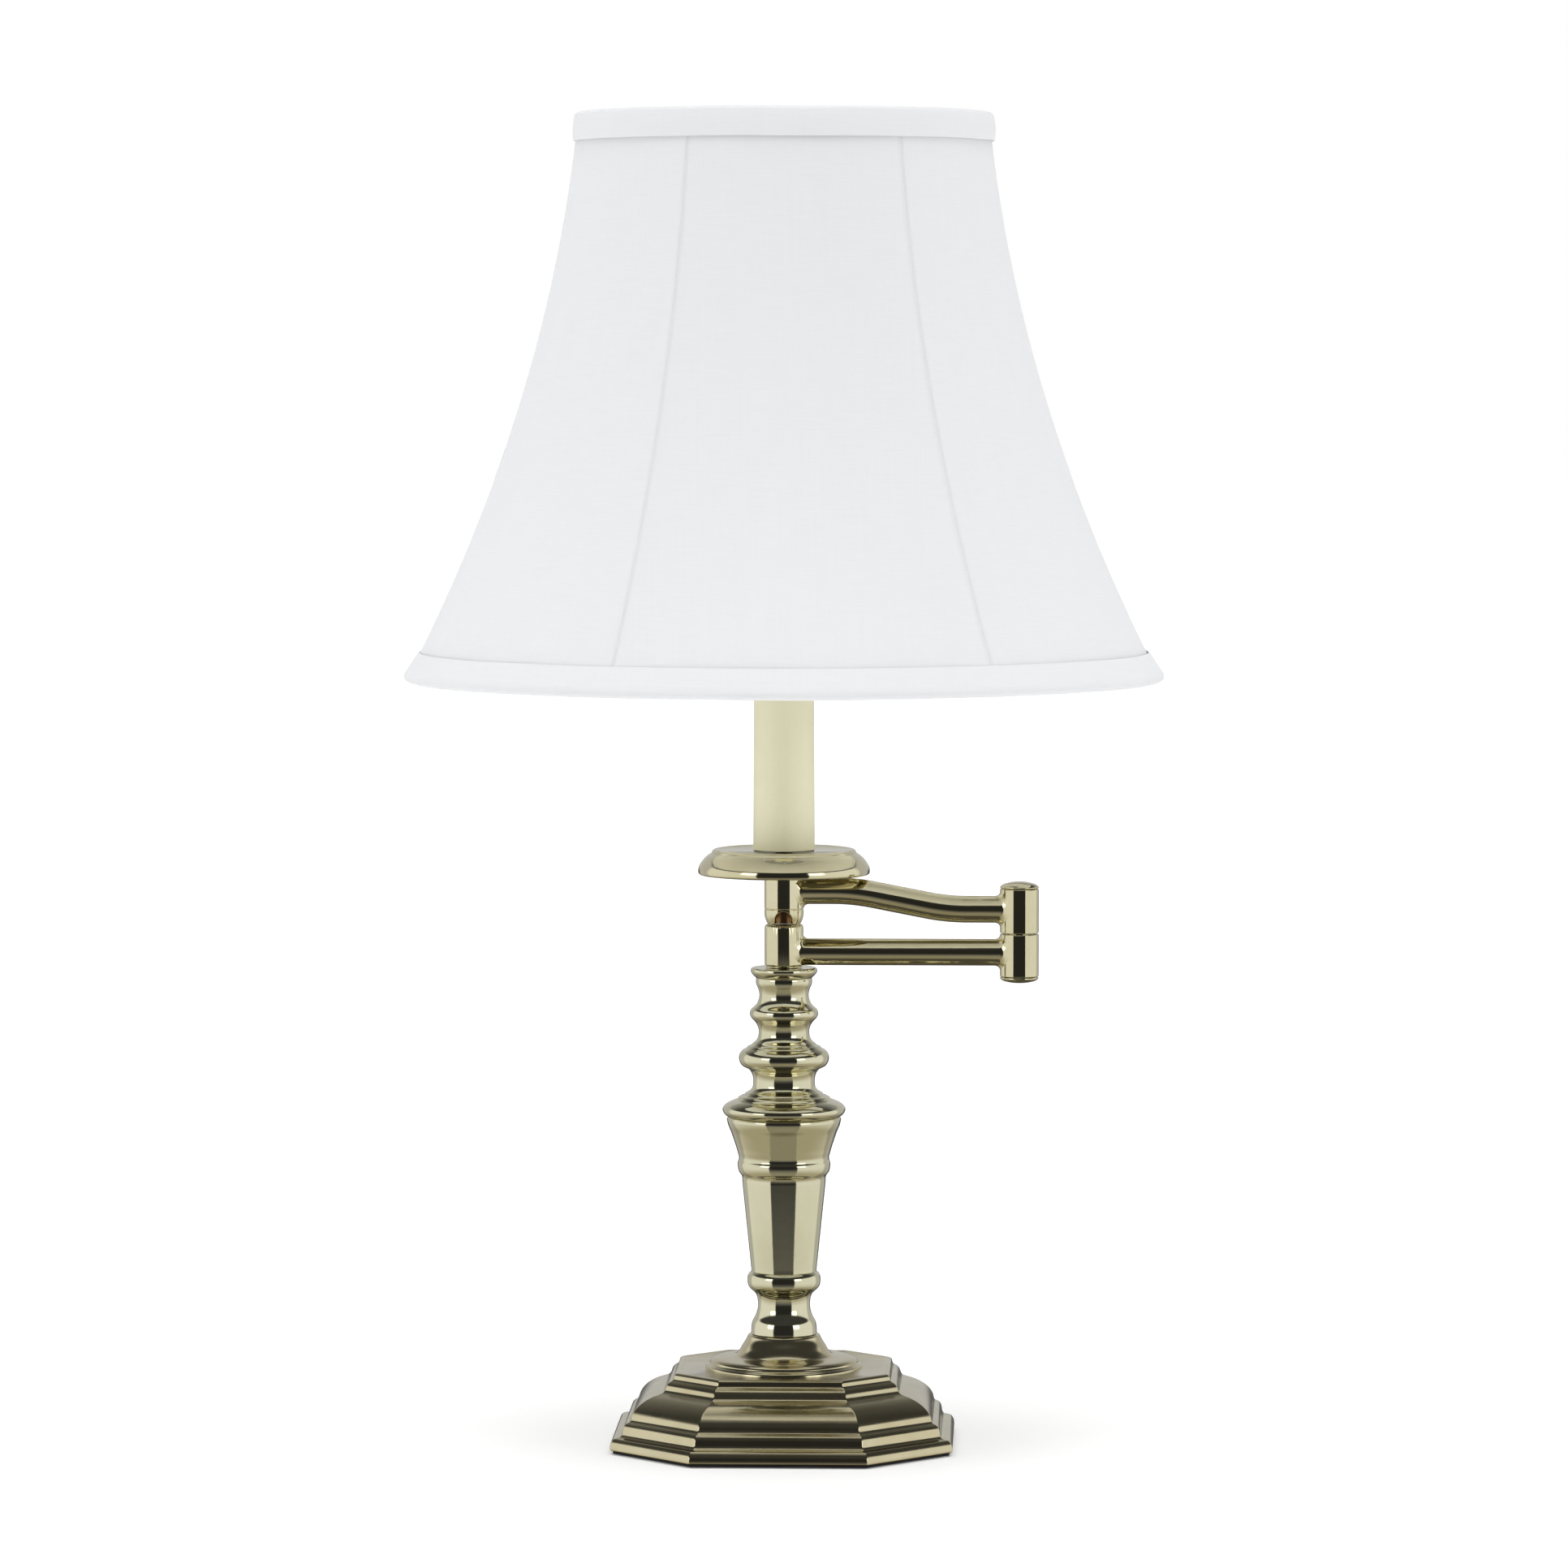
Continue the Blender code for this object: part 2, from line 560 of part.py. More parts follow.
def build_bulb(axis):
    ridges = []
    for turn in range(4):
        height = 508.5 - 4.0 * turn
        ridges += [(12.9, height), (12.1, height - 2.0)]
    turned(
        "bulb_cap",
        [(0, 513.3), (13.0, 513.3), (13.0, 511.2), *ridges, (5.6, 490.4), (2.8, 489.0), (0, 489.0)],
        axis, "aluminium",
    )
    turned(
        "bulb_glass",
        [(0, 603.0), (10.3, 601.2), (19.3, 596.0), (26.0, 588.0), (29.5, 578.2), (29.9, 567.8),
         (27.6, 555.0), (22.8, 540.0), (17.6, 525.5), (13.6, 513.6),
         (12.4, 513.6), (16.4, 525.9), (21.6, 540.4), (26.4, 555.3),
         (28.6, 567.8), (28.3, 577.9), (25.0, 587.3), (18.6, 594.8), (9.9, 599.9), (0, 601.6)],
        axis, "opal_glass",
    )


# ---------------------------------------------------------------- harp

SLEEVE_FOOT = 457.6
POST_TOP = 470.0
HARP_SIDE = [(HARP_LEG, 497.0), (29.0, 516.0), (43.0, 545.0), (52.5, 580.0), (55.0, 612.0), (50.0, 645.0)]
HARP_CROWN = [(36.0, 668.0), (17.0, 680.5)]


def build_harp(axis, sleeve_axes):
    strap = plate("harp_saddle", stadium(53.0, 12.0), 1.6, axis, "polished_brass",
                  place=(0, 0, SADDLE_HEIGHT + 0.8))
    posts = [
        drum("saddle_post_" + side, HARP_WIRE, 456.5, POST_TOP, axis, sides=8, place=(x, 0))
        for side, x in (("left", -HARP_LEG), ("right", HARP_LEG))
    ]
    boolean(strap, "DIFFERENCE", drum("saddle_hole", PIPE_HOLE, 450, 460, axis))
    boolean(strap, "UNION", *posts)

    rise = [*HARP_SIDE, *HARP_CROWN, (0, HARP_TOP)]
    left = [(-x, 0, z) for x, z in rise]
    right = [(x, 0, z) for x, z in reversed(rise[:-1])]
    foot = POST_TOP + 0.4
    path = [(-HARP_LEG, 0, foot), *left, *right, (HARP_LEG, 0, foot)]
    harp = rod("harp", path, HARP_WIRE, axis, "polished_brass", sides=6)
    seat = turned(
        "harp_seat",
        [(0, 686.4), (8.0, 686.4), (8.6, 685.7), (8.0, 685.0), (3.4, 683.4), (0, 683.4)],
        axis, None,
    )
    boolean(harp, "UNION", seat, drum("harp_stud", 3.1, 685.5, 700.0, axis, sides=12))

    for side, sleeve_axis in sleeve_axes.items():
        sleeve("harp_sleeve_" + side, 3.6, 2.2, SLEEVE_FOOT, 481.0, sleeve_axis, "polished_brass")


def build_finial(axis):
    turned(
        "finial",
        [(0, 709.8), (2.6, 709.2), (3.9, 707.2), (3.4, 705.0), (2.4, 703.6), (3.2, 702.4), (5.8, 700.4),
         (7.0, 697.6), (6.4, 694.6), (4.6, 692.6), (5.0, 691.4), (6.6, 690.4), (6.8, 689.4), (6.4, 688.6),
         (3.5, 688.6), (3.5, 701.4), (0, 701.4)],
        axis, "polished_brass",
    )


# ---------------------------------------------------------------- shade


def bell_radius(height):
    """The cover's outer radius at a rib: a parabola that flares downwards."""
    depth = BELL_TOP - height
    return BELL_RADIUS + BELL_SLOPE * depth + BELL_FLARE * depth * depth


def cover_radius(height, angle, inset):
    """The cover's radius at an angle from a rib. It is stretched flatter between the ribs, and is round again
    where it meets the top and bottom rings."""
    span = math.pi / RIBS
    from_rib = abs((angle + span) % (2 * span) - span)
    straight = math.cos(span) / math.cos(span - from_rib)
    rise = (height - SHADE_FOOT) / (SHADE_TOP - SHADE_FOOT)
    pull = FLATTEN * math.sin(math.pi * rise) ** 1.2
    return bell_radius(height) * (1 + pull * (straight - 1)) - inset


def bell_shell(name, foot, top, rows, inset, thick, axis, material):
    """A thin bell, open at both ends, whose outer face lies that far inside the cover's."""
    shape = bmesh.new()
    rings = []
    for row in range(rows + 1):
        height = top + (foot - top) * row / rows
        ring = []
        for column in range(COLUMNS):
            angle = 2 * math.pi * column / COLUMNS
            radius = cover_radius(height, angle, inset) * MM
            ring.append(shape.verts.new((radius * math.cos(angle), radius * math.sin(angle), height * MM)))
        rings.append(ring)
    for high, low in zip(rings, rings[1:]):
        for i in range(COLUMNS):
            shape.faces.new((low[i - 1], low[i], high[i], high[i - 1]))
    mesh = bpy.data.meshes.new(name)
    shape.to_mesh(mesh)
    shape.free()
    shell = add_piece(name, mesh, axis, material)
    solidify = shell.modifiers.new("thickness", "SOLIDIFY")
    solidify.thickness = thick * MM
    solidify.offset = -1
    return shell


def wire_ring(name, radius, height, wire, axis):
    outline = arc((radius, height), wire, 45, -225, 3)
    return turned(name, outline, axis, "white_wire", COLUMNS)


def build_shade_frame(axis):
    wire_ring("shade_top_ring", 106.9, 705.5, RING_WIRE, axis)
    wire_ring("shade_bottom_ring", 196.3, 413.4, RING_WIRE, axis)
    top = 703.7
    foot = 415.4
    steps = 7
    heights = [top + (foot - top) * step / steps for step in range(steps + 1)]
    path = [(bell_radius(height) - RIB_INSET, 0, height) for height in heights]
    for number in range(RIBS):
        turn = 360 / RIBS * number
        rod(f"shade_rib_{number + 1}", path, RIB_WIRE, axis, "white_wire", sides=6, turn=(0, 0, turn))

    hub = sleeve("spider", 12.0, 3.6, 686.7, 688.3, axis, "white_wire")
    arm = [(9.0, 0, 687.5), (30.0, 0, 688.6), (60.0, 0, 693.5), (88.0, 0, 699.4), (99.0, 0, 700.9),
           (104.8, 0, 700.9), (106.6, 0, 701.9), (106.9, 0, 703.6)]
    for number in range(3):
        spoke = rod(f"spoke_{number + 1}", arm, RIB_WIRE, axis, None, sides=6, turn=(0, 0, 30 + 120 * number))
        boolean(hub, "UNION", spoke)


def build_shade_cover(axis):
    bell_shell("shade_cover", 411.6, 710.4, 9, 0, COVER_THICK, axis, "white_linen")
    bell_shell("shade_lining", 418.4, 699.2, 7, LINING_INSET, LINING_THICK, axis, "white_lining")
    turned(
        "shade_top_band",
        [(105.2, SHADE_TOP), (109.8, SHADE_TOP), (111.1, 711.3), (111.5, 709.8), (112.0, BELL_TOP),
         (111.1, BELL_TOP), (110.4, 710.8), (105.0, 710.8), (105.0, 702.6), (104.2, 702.6), (104.2, 711.0)],
        axis, "white_linen", COLUMNS,
    )
    turned(
        "shade_bottom_band",
        [(195.1, 425.5), (198.0, 421.2), (200.8, 416.9), (202.8, 413.6), (203.0, 412.2), (202.3, 410.7),
         (200.6, SHADE_FOOT), (193.7, SHADE_FOOT), (192.7, 418.0),
         (193.6, 418.0), (194.5, 410.9), (201.1, 410.9), (201.8, 412.6), (199.8, 416.4), (194.3, 425.3)],
        axis, "white_linen", COLUMNS,
    )


# ---------------------------------------------------------------- whole lamp


def smooth_round_faces():
    """Applies each piece's modifiers, and shades its round faces smooth and its edges crisp."""
    bpy.context.view_layer.update()
    depsgraph = bpy.context.evaluated_depsgraph_get()
    pieces = [piece for piece in LAMP.objects if piece.type == "MESH"]
    shapes = [bpy.data.meshes.new_from_object(piece.evaluated_get(depsgraph)) for piece in pieces]
    for piece, shape in zip(pieces, shapes):
        piece.modifiers.clear()
        piece.data = shape
        shape.name = piece.name
        shape.shade_smooth()
        shape.set_sharp_from_angle(angle=SMOOTH_BELOW)


def main():
    base = add_axis("base_axis", None)
    arm_hinge = add_axis("arm_hinge", base)
    elbow_fixed = add_axis("elbow_fixed", arm_hinge, (ARM_REACH, 0, 0))
    elbow_hinge = add_axis("elbow_hinge", arm_hinge, (ARM_REACH, 0, 0))
    head = add_axis("head_axis", elbow_hinge, (-ARM_REACH, 0, 0))
    switch = add_axis("switch_axis", head, (0, 0, SWITCH_HEIGHT), (90, 0, 0))
    sleeves = {
        "left": add_axis("left_sleeve_slide", head, (-HARP_LEG, 0, 0)),
        "right": add_axis("right_sleeve_slide", head, (HARP_LEG, 0, 0)),
    }
    shade = add_axis("shade_axis", head, turn=(0, 0, SHADE_TURN))

    build_base(base)
    build_column(base)
    build_swivel_stem(base)
    build_lower_arm(arm_hinge, elbow_fixed)
    build_upper_arm(head, elbow_hinge)
    build_head(head)
    build_socket(head, switch)
    build_bulb(head)
    build_harp(head, sleeves)
    build_finial(head)
    build_shade_frame(shade)
    build_shade_cover(shade)
    smooth_round_faces()


main()
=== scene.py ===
"""Looks of a swing-arm table lamp: polished and satin brass, and a six-panel white bell shade.

Most metal pieces are turned again, finely, from the outline that their CAD node shows on a cut through its
axis, with rounded edges. Outlines and lengths below are in millimetres unless a comment says otherwise.
"""

import math

import bmesh
import bpy
from mathutils import Matrix, Vector, noise


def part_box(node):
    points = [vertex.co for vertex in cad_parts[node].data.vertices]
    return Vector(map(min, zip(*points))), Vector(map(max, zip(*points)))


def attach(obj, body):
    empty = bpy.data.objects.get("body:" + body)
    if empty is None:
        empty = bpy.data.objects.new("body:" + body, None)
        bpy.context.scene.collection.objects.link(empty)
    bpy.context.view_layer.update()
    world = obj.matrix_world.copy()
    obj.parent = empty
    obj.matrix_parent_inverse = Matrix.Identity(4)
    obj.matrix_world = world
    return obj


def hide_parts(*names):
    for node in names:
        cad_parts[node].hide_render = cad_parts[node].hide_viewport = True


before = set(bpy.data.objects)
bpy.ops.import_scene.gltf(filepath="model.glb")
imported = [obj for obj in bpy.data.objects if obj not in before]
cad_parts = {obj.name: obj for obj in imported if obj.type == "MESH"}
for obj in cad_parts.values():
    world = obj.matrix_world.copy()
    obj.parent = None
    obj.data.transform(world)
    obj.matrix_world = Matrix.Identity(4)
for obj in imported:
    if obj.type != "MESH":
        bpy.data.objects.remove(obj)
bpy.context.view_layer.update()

MM = 0.001
WELD = 1e-6  # metres: vertices nearer than this are one
SIDES = 112  # round a turned piece
SIDES_SMALL = 64
SIDES_WIRE = 32
SIDES_ARM = 72
CORNER = math.radians(42)  # an outline that turns more than this at a point has an edge there
STRAIGHT = math.radians(0.6)  # an outline that turns less than this needs no point there
SAME_PLACE = 0.02  # outline points nearer than this are one
LONG = 15.0  # an outline's stretch this long is straight
MOST_STEPS = 12  # into which a stretch of a curve is divided
EDGE_SHARE = 0.35  # the most of a stretch that the rounding of an edge takes
LEAD_IN = 0.35  # how far before a rounding the last point lies, as a share of the rounding

REAR = (0, 1)
LEFT = (-1, 0)
ELBOW = (126.0, 0)  # the elbow's axis, seen from above


# ---------------------------------------------------------------- outlines


def chained(edges):
    """Edges as the longest chain of their end points, and whether it is closed. The edges stay in their
    order, so the chain starts at the same point in every run."""
    ends = {}
    for edge in edges:
        for vert in edge.verts:
            ends.setdefault(vert, []).append(edge)
    left = dict.fromkeys(edges)
    best = ([], False)
    while left:
        loose = [vert for edge in left for vert in edge.verts if sum(e in left for e in ends[vert]) == 1]
        vert = loose[0] if loose else next(iter(left)).verts[0]
        start = vert
        chain = [vert]
        while True:
            onward = [edge for edge in ends[vert] if edge in left]
            if not onward:
                break
            del left[onward[0]]
            vert = onward[0].other_vert(vert)
            chain.append(vert)
        closed = chain[-1] is start
        if closed:
            chain.pop()
        if len(chain) > len(best[0]):
            best = (chain, closed)
    return best


def section(node, centre=(0, 0), toward=REAR):
    """The outline of a CAD piece in the half plane from its axis in that direction, as (radius, height)
    points, and whether it is closed."""
    shape = bmesh.new()
    shape.from_mesh(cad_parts[node].data)
    bmesh.ops.remove_doubles(shape, verts=shape.verts, dist=WELD)
    middle = Vector((centre[0] * MM, centre[1] * MM, 0))
    out = Vector((*toward, 0)).normalized()
    across = Vector((out.y, -out.x, 0))
    everything = [*shape.verts, *shape.edges, *shape.faces]
    cut = bmesh.ops.bisect_plane(shape, geom=everything, plane_co=middle, plane_no=across, dist=2 * WELD)
    edges = [
        item for item in cut["geom_cut"]
        if isinstance(item, bmesh.types.BMEdge)
        and all((vert.co - middle).dot(out) > -10 * WELD for vert in item.verts)
    ]
    chain, closed = chained(edges)
    points = [(max(0.0, (v.co - middle).dot(out)) / MM, v.co.z / MM) for v in chain]
    shape.free()
    return without_straights(points, closed), closed


def turn_at(before, here, after):
    """How much an outline turns at a point."""
    first = (here - before).normalized()
    second = (after - here).normalized()
    return math.atan2(abs(first.cross(second)), first.dot(second))


def without_straights(points, closed):
    """The outline without points that lie on a straight line or on their neighbour."""
    line = []
    for point in points:
        if not line or math.dist(line[-1], point) > SAME_PLACE:
            line.append(point)
    if closed and math.dist(line[0], line[-1]) < SAME_PLACE:
        line.pop()
    kept = []
    for i, point in enumerate(line):
        if not closed and i in (0, len(line) - 1):
            kept.append(point)
            continue
        before = Vector(line[i - 1])
        after = Vector(line[(i + 1) % len(line)])
        if turn_at(before, Vector(point), after) > STRAIGHT:
            kept.append(point)
    return kept


def smooth_run(points, spacing, straight=LONG):
    """A curve through points, with stretches longer than straight left as they are."""
    points = [Vector(point) for point in points]
    last = len(points) - 1
    if last < 2:
        return points
    ways = [(b - a).normalized() for a, b in zip(points, points[1:])]
    lengths = [(b - a).length for a, b in zip(points, points[1:])]
    tangents = [None] * (last + 1)
    for i in range(1, last):
        if lengths[i - 1] > straight:
            tangents[i] = ways[i - 1]
        elif lengths[i] > straight:
            tangents[i] = ways[i]
        else:
            tangents[i] = (ways[i - 1] * lengths[i] + ways[i] * lengths[i - 1]).normalized()
    tangents[0] = (2 * ways[0] * ways[0].dot(tangents[1]) - tangents[1]).normalized()
    tangents[last] = (2 * ways[-1] * ways[-1].dot(tangents[last - 1]) - tangents[last - 1]).normalized()
    line = [points[0]]
    for i, (a, b) in enumerate(zip(points, points[1:])):
        long = lengths[i]
        steps = 1 if long > straight else max(2, min(MOST_STEPS, round(long / spacing)))
        for step in range(1, steps + 1):
            t = step / steps
            line.append(
                a * (2 * t**3 - 3 * t**2 + 1)
                + tangents[i] * (long * (t**3 - 2 * t**2 + t))
                + b * (3 * t**2 - 2 * t**3)
                + tangents[i + 1] * (long * (t**3 - t**2))
            )
    return line


def shortened(line, distance):
    """A line without that distance at its end."""
    line = list(line)
    while len(line) > 1:
        end = line.pop()
        span = (end - line[-1]).length
        if span > distance:
            return [*line, end.lerp(line[-1], distance / span)]
        distance -= span
    return line


def cut_back(line, distance):
    """A line shortened from its end, with one more point just before the new end."""
    line = shortened(line, distance)
    return [*shortened(line, LEAD_IN * distance), line[-1]]


def rounded(points, closed, edge=0.35, spacing=1.1):
    """An outline whose curves are smooth and whose edges are rounded off."""
    line = [Vector(point) for point in points]
    count = len(line)
    inner = range(count) if closed else range(1, count - 1)
    corners = [i for i in inner if turn_at(line[i - 1], line[i], line[(i + 1) % count]) > CORNER]
    if closed:
        corners = corners or [0]
        line = line[corners[0]:] + line[:corners[0] + 1]
        marks = [i - corners[0] for i in corners] + [count]
    else:
        marks = [0, *corners, count - 1]
    runs = [smooth_run(line[a:b + 1], spacing) for a, b in zip(marks, marks[1:])]
    most = [EDGE_SHARE * sum((b - a).length for a, b in zip(run, run[1:])) for run in runs]
    made = []
    for i, run in enumerate(runs):
        following = (i + 1) % len(runs)
        corner = run[-1]
        if closed or i > 0:
            run = cut_back(run[::-1], min(edge, most[i], most[i - 1]))[::-1]
        if closed or following > 0:
            reach = min(edge, most[i], most[following])
            run = cut_back(run, reach)
            leave, enter = run[-1], cut_back(runs[following][::-1], reach)[-1]
            for t in (0.25, 0.5, 0.75):
                run.append(leave * (1 - t) ** 2 + corner * (2 * t * (1 - t)) + enter * t**2)
        made += run
    return made


# ---------------------------------------------------------------- meshes


def placed(name, data):
    """A new object in the scene."""
    made = bpy.data.objects.new(name, data)
    bpy.context.scene.collection.objects.link(made)
    return made


def mesh_of(name, shape):
    """A mesh that shape (a bmesh) is emptied into."""
    mesh = bpy.data.meshes.new(name)
    shape.to_mesh(mesh)
    shape.free()
    return mesh


def smoothed(piece, angle=CORNER):
    """The piece shaded smooth, apart from edges that turn more than that."""
    piece.data.shade_smooth()
    piece.data.set_sharp_from_angle(angle=angle)
    return piece


def piece_of(name, shape, look):
    """A smooth-shaded object that shape (a bmesh) is emptied into."""
    bmesh.ops.recalc_face_normals(shape, faces=shape.faces)
    piece = placed(name, mesh_of(name, shape))
    piece.data.materials.append(LOOKS[look])
    return smoothed(piece)


def turned_mesh(line, closed, sides=SIDES, centre=(0, 0)):
    """A bmesh of an outline of (radius, height) points turned round an axis."""
    shape = bmesh.new()
    columns = []
    for side in range(sides):
        angle = 2 * math.pi * side / sides
        c, s = math.cos(angle), math.sin(angle)
        columns.append([
            shape.verts.new(((centre[0] + r * c) * MM, (centre[1] + r * s) * MM, z * MM)) for r, z in line
        ])
    steps = len(line) if closed else len(line) - 1
    for left, right in zip(columns, columns[1:] + columns[:1]):
        for i in range(steps):
            j = (i + 1) % len(line)
            shape.faces.new((left[i], right[i], right[j], left[j]))
    bmesh.ops.remove_doubles(shape, verts=shape.verts, dist=2 * WELD)
    return shape


def loft(rings):
    """A bmesh that joins rings of the same number of points and closes both ends."""
    shape = bmesh.new()
    made = [[shape.verts.new(point) for point in ring] for ring in rings]
    for low, high in zip(made, made[1:]):
        for i in range(len(low)):
            shape.faces.new((low[i - 1], low[i], high[i], high[i - 1]))
    shape.faces.new(made[0])
    shape.faces.new(made[-1])
    return shape


def fitted(piece, look, body, *nodes):
    """The piece, put on its body, with the CAD nodes that it stands for hidden."""
    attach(piece, body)
    if nodes:
        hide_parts(*nodes)
    return piece


def returned(node, look, body, centre=(0, 0), toward=REAR, sides=SIDES, edge=0.35):
    """A CAD node turned again with smooth curves and rounded edges."""
    points, closed = section(node, centre, toward)
    shape = turned_mesh(rounded(points, closed, edge), closed, sides, centre)
    return fitted(piece_of("fine_" + node, shape, look), look, body, node)


def wire(name, path, radius, look):
    """A round wire along a path of points."""
    path = [Vector(point) for point in path]
    turns = [2 * math.pi * k / SIDES_WIRE for k in range(SIDES_WIRE)]
    rings = []
    side = None
    for i, place in enumerate(path):
        way = (path[min(i + 1, len(path) - 1)] - path[max(i - 1, 0)]).normalized()
        if side is None:
            side = way.orthogonal().normalized()
        side = (side - way * side.dot(way)).normalized()
        other = way.cross(side)
        rings.append([
            (place + (side * math.cos(turn) + other * math.sin(turn)) * radius) * MM for turn in turns
        ])
    return piece_of(name, loft(rings), look)


def applied(piece):
    """The piece with its modifiers applied."""
    mesh = bpy.data.meshes.new_from_object(piece.evaluated_get(bpy.context.evaluated_depsgraph_get()))
    piece.modifiers.clear()
    piece.data = mesh
    return piece


def cut_away(piece, cutter):
    """Takes the cutter's solid out of the piece."""
    cut = piece.modifiers.new("cut", "BOOLEAN")
    cut.object = cutter
    cut.solver = "EXACT"
    applied(piece)
    bpy.data.objects.remove(cutter)
    piece.data.set_sharp_from_angle(angle=CORNER)


def softened(node, look, body, width):
    """A CAD node with its edges rounded."""
    shape = bmesh.new()
    shape.from_mesh(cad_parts[node].data)
    bmesh.ops.remove_doubles(shape, verts=shape.verts, dist=WELD)
    bmesh.ops.dissolve_limit(shape, angle_limit=math.radians(1), verts=shape.verts, edges=shape.edges)
    piece = piece_of("fine_" + node, shape, look)
    bevel = piece.modifiers.new("bevel", "BEVEL")
    bevel.width = width * MM
    bevel.segments = 3
    bevel.limit_method = "ANGLE"
    bevel.angle_limit = CORNER
    return fitted(smoothed(applied(piece)), look, body, node)


# ---------------------------------------------------------------- materials


def node_of(tree, kind, inputs=None, **settings):
    """A shader node with its settings, and with each input linked or set."""
    made = tree.nodes.new(kind)
    for key, value in settings.items():
        setattr(made, key, value)
    for key, value in (inputs or {}).items():
        if isinstance(value, bpy.types.NodeSocket):
            tree.links.new(value, made.inputs[key])
        else:
            made.inputs[key].default_value = value
    return made


def worked(tree, operation, *values):
    """What a calculation gives for those values."""
    return node_of(tree, "ShaderNodeMath", dict(enumerate(values)), operation=operation).outputs[0]


def start(name):
    """A new material, its node tree and its shader."""
    material = bpy.data.materials.new(name)
    material.use_nodes = True
    tree = material.node_tree
    return material, tree, tree.nodes["Principled BSDF"]


def scaled(tree, coordinates, scale):
    """Coordinates multiplied by a scale in each direction."""
    return node_of(tree, "ShaderNodeMapping", {"Vector": coordinates, "Scale": scale}).outputs["Vector"]


def clouds(tree, coordinates, scale, detail=3.0, roughness=0.5):
    """Soft noise between 0 and 1."""
    made = node_of(tree, "ShaderNodeTexNoise",
                   {"Vector": coordinates, "Scale": scale, "Detail": detail, "Roughness": roughness})
    return made.outputs["Fac"]


def ranged(tree, value, low, high, first=0.0, last=1.0, ease="LINEAR"):
    """A value between low and high mapped to between first and last."""
    inputs = {"Value": value, "From Min": low, "From Max": high, "To Min": first, "To Max": last}
    return node_of(tree, "ShaderNodeMapRange", inputs, interpolation_type=ease).outputs["Result"]


def blended(tree, amount, first, second):
    """Two colours mixed by an amount from 0, the first, to 1, the second."""
    made = node_of(tree, "ShaderNodeMix", data_type="RGBA")
    for socket, value in ((made.inputs[0], amount), (made.inputs[6], first), (made.inputs[7], second)):
        if isinstance(value, bpy.types.NodeSocket):
            tree.links.new(value, socket)
        else:
            socket.default_value = value
    return made.outputs[2]


def bumps(tree, height, strength, distance, normal=None):
    """A normal that follows a height, on top of another normal where there is one."""
    inputs = {"Height": height, "Strength": strength, "Distance": distance}
    if normal:
        inputs["Normal"] = normal
    return node_of(tree, "ShaderNodeBump", inputs).outputs["Normal"]


def metal(name, pale, deep, roughness, uneven=0.03, peel=0.06, turning=0.03, coat=0.2, metallic=1.0):
    """A metal with slow changes of tone, fine turning marks, a slightly uneven polish and a thin lacquer."""
    material, tree, shader = start(name)
    place = node_of(tree, "ShaderNodeTexCoord").outputs["Object"]
    tone = clouds(tree, place, 22.0, 4.0, 0.6)
    smudge = clouds(tree, place, 95.0, 5.0, 0.65)
    colour = blended(tree, ranged(tree, tone, 0.3, 0.7), (*pale, 1), (*deep, 1))
    specks = ranged(tree, clouds(tree, place, 900.0, 2.0), 0.68, 0.8, 0.0, 0.35)
    colour = blended(tree, specks, colour, (*(0.55 * value for value in deep), 1))
    tree.links.new(colour, shader.inputs["Base Color"])
    tree.links.new(ranged(tree, smudge, 0.3, 0.75, roughness - uneven, roughness + uneven),
                   shader.inputs["Roughness"])
    rings = clouds(tree, scaled(tree, place, (30.0, 30.0, 2600.0)), 1.0, 3.0, 0.7)
    normal = bumps(tree, rings, turning, 0.00004)
    normal = bumps(tree, clouds(tree, place, 210.0, 2.0), peel, 0.0003, normal)
    tree.links.new(normal, shader.inputs["Normal"])
    shader.inputs["Metallic"].default_value = metallic
    shader.inputs["Coat Weight"].default_value = coat
    shader.inputs["Coat Roughness"].default_value = 0.08
    return material


def woven(name, thread, shadow, rows=2900.0, depth=0.5):
    """A plain weave, from the UV map in metres: u runs across the cloth and v along it. The seam attribute is
    1 on a seam, where the cloth lies in two layers over the rib, and there the colour is darkened as painted
    shade."""
    material, tree, shader = start(name)
    flat = node_of(tree, "ShaderNodeUVMap", uv_map="weave").outputs["UV"]
    parts = node_of(tree, "ShaderNodeSeparateXYZ", {"Vector": flat})
    waves = [worked(tree, "SINE", worked(tree, "MULTIPLY", parts.outputs[key], rows)) for key in "XY"]
    weave = worked(tree, "MULTIPLY", *waves)
    slub_weft = clouds(tree, scaled(tree, flat, (45.0, 1500.0, 1.0)), 1.0, 4.0, 0.7)
    slub_warp = clouds(tree, scaled(tree, flat, (1300.0, 30.0, 1.0)), 0.4, 4.0, 0.7)
    faint = ranged(tree, slub_warp, 0.0, 1.0, 0.3, 0.7)
    slubs = worked(tree, "ADD", slub_weft, faint)
    colour = blended(tree, ranged(tree, slubs, 0.75, 1.25), (*shadow, 1), (*thread, 1))
    seam = node_of(tree, "ShaderNodeAttribute", attribute_name="seam").outputs["Fac"]
    # painted shade along each seam: the colour darkens where the seam attribute is high
    painted_seam_shade = worked(tree, "MULTIPLY", seam, 0.45)
    colour = blended(tree, painted_seam_shade, colour, (*(0.86 * value for value in shadow), 1))
    tree.links.new(colour, shader.inputs["Base Color"])
    normal = bumps(tree, weave, 0.25 * depth, 0.0001)
    normal = bumps(tree, slubs, 0.35 * depth, 0.0002, normal)
    tree.links.new(normal, shader.inputs["Normal"])
    tree.links.new(ranged(tree, slubs, 0.8, 1.2, 0.86, 0.96), shader.inputs["Roughness"])
    shader.inputs["Sheen Weight"].default_value = 0.12
    shader.inputs["Sheen Roughness"].default_value = 0.5
    shader.inputs["Specular IOR Level"].default_value = 0.25
    return material


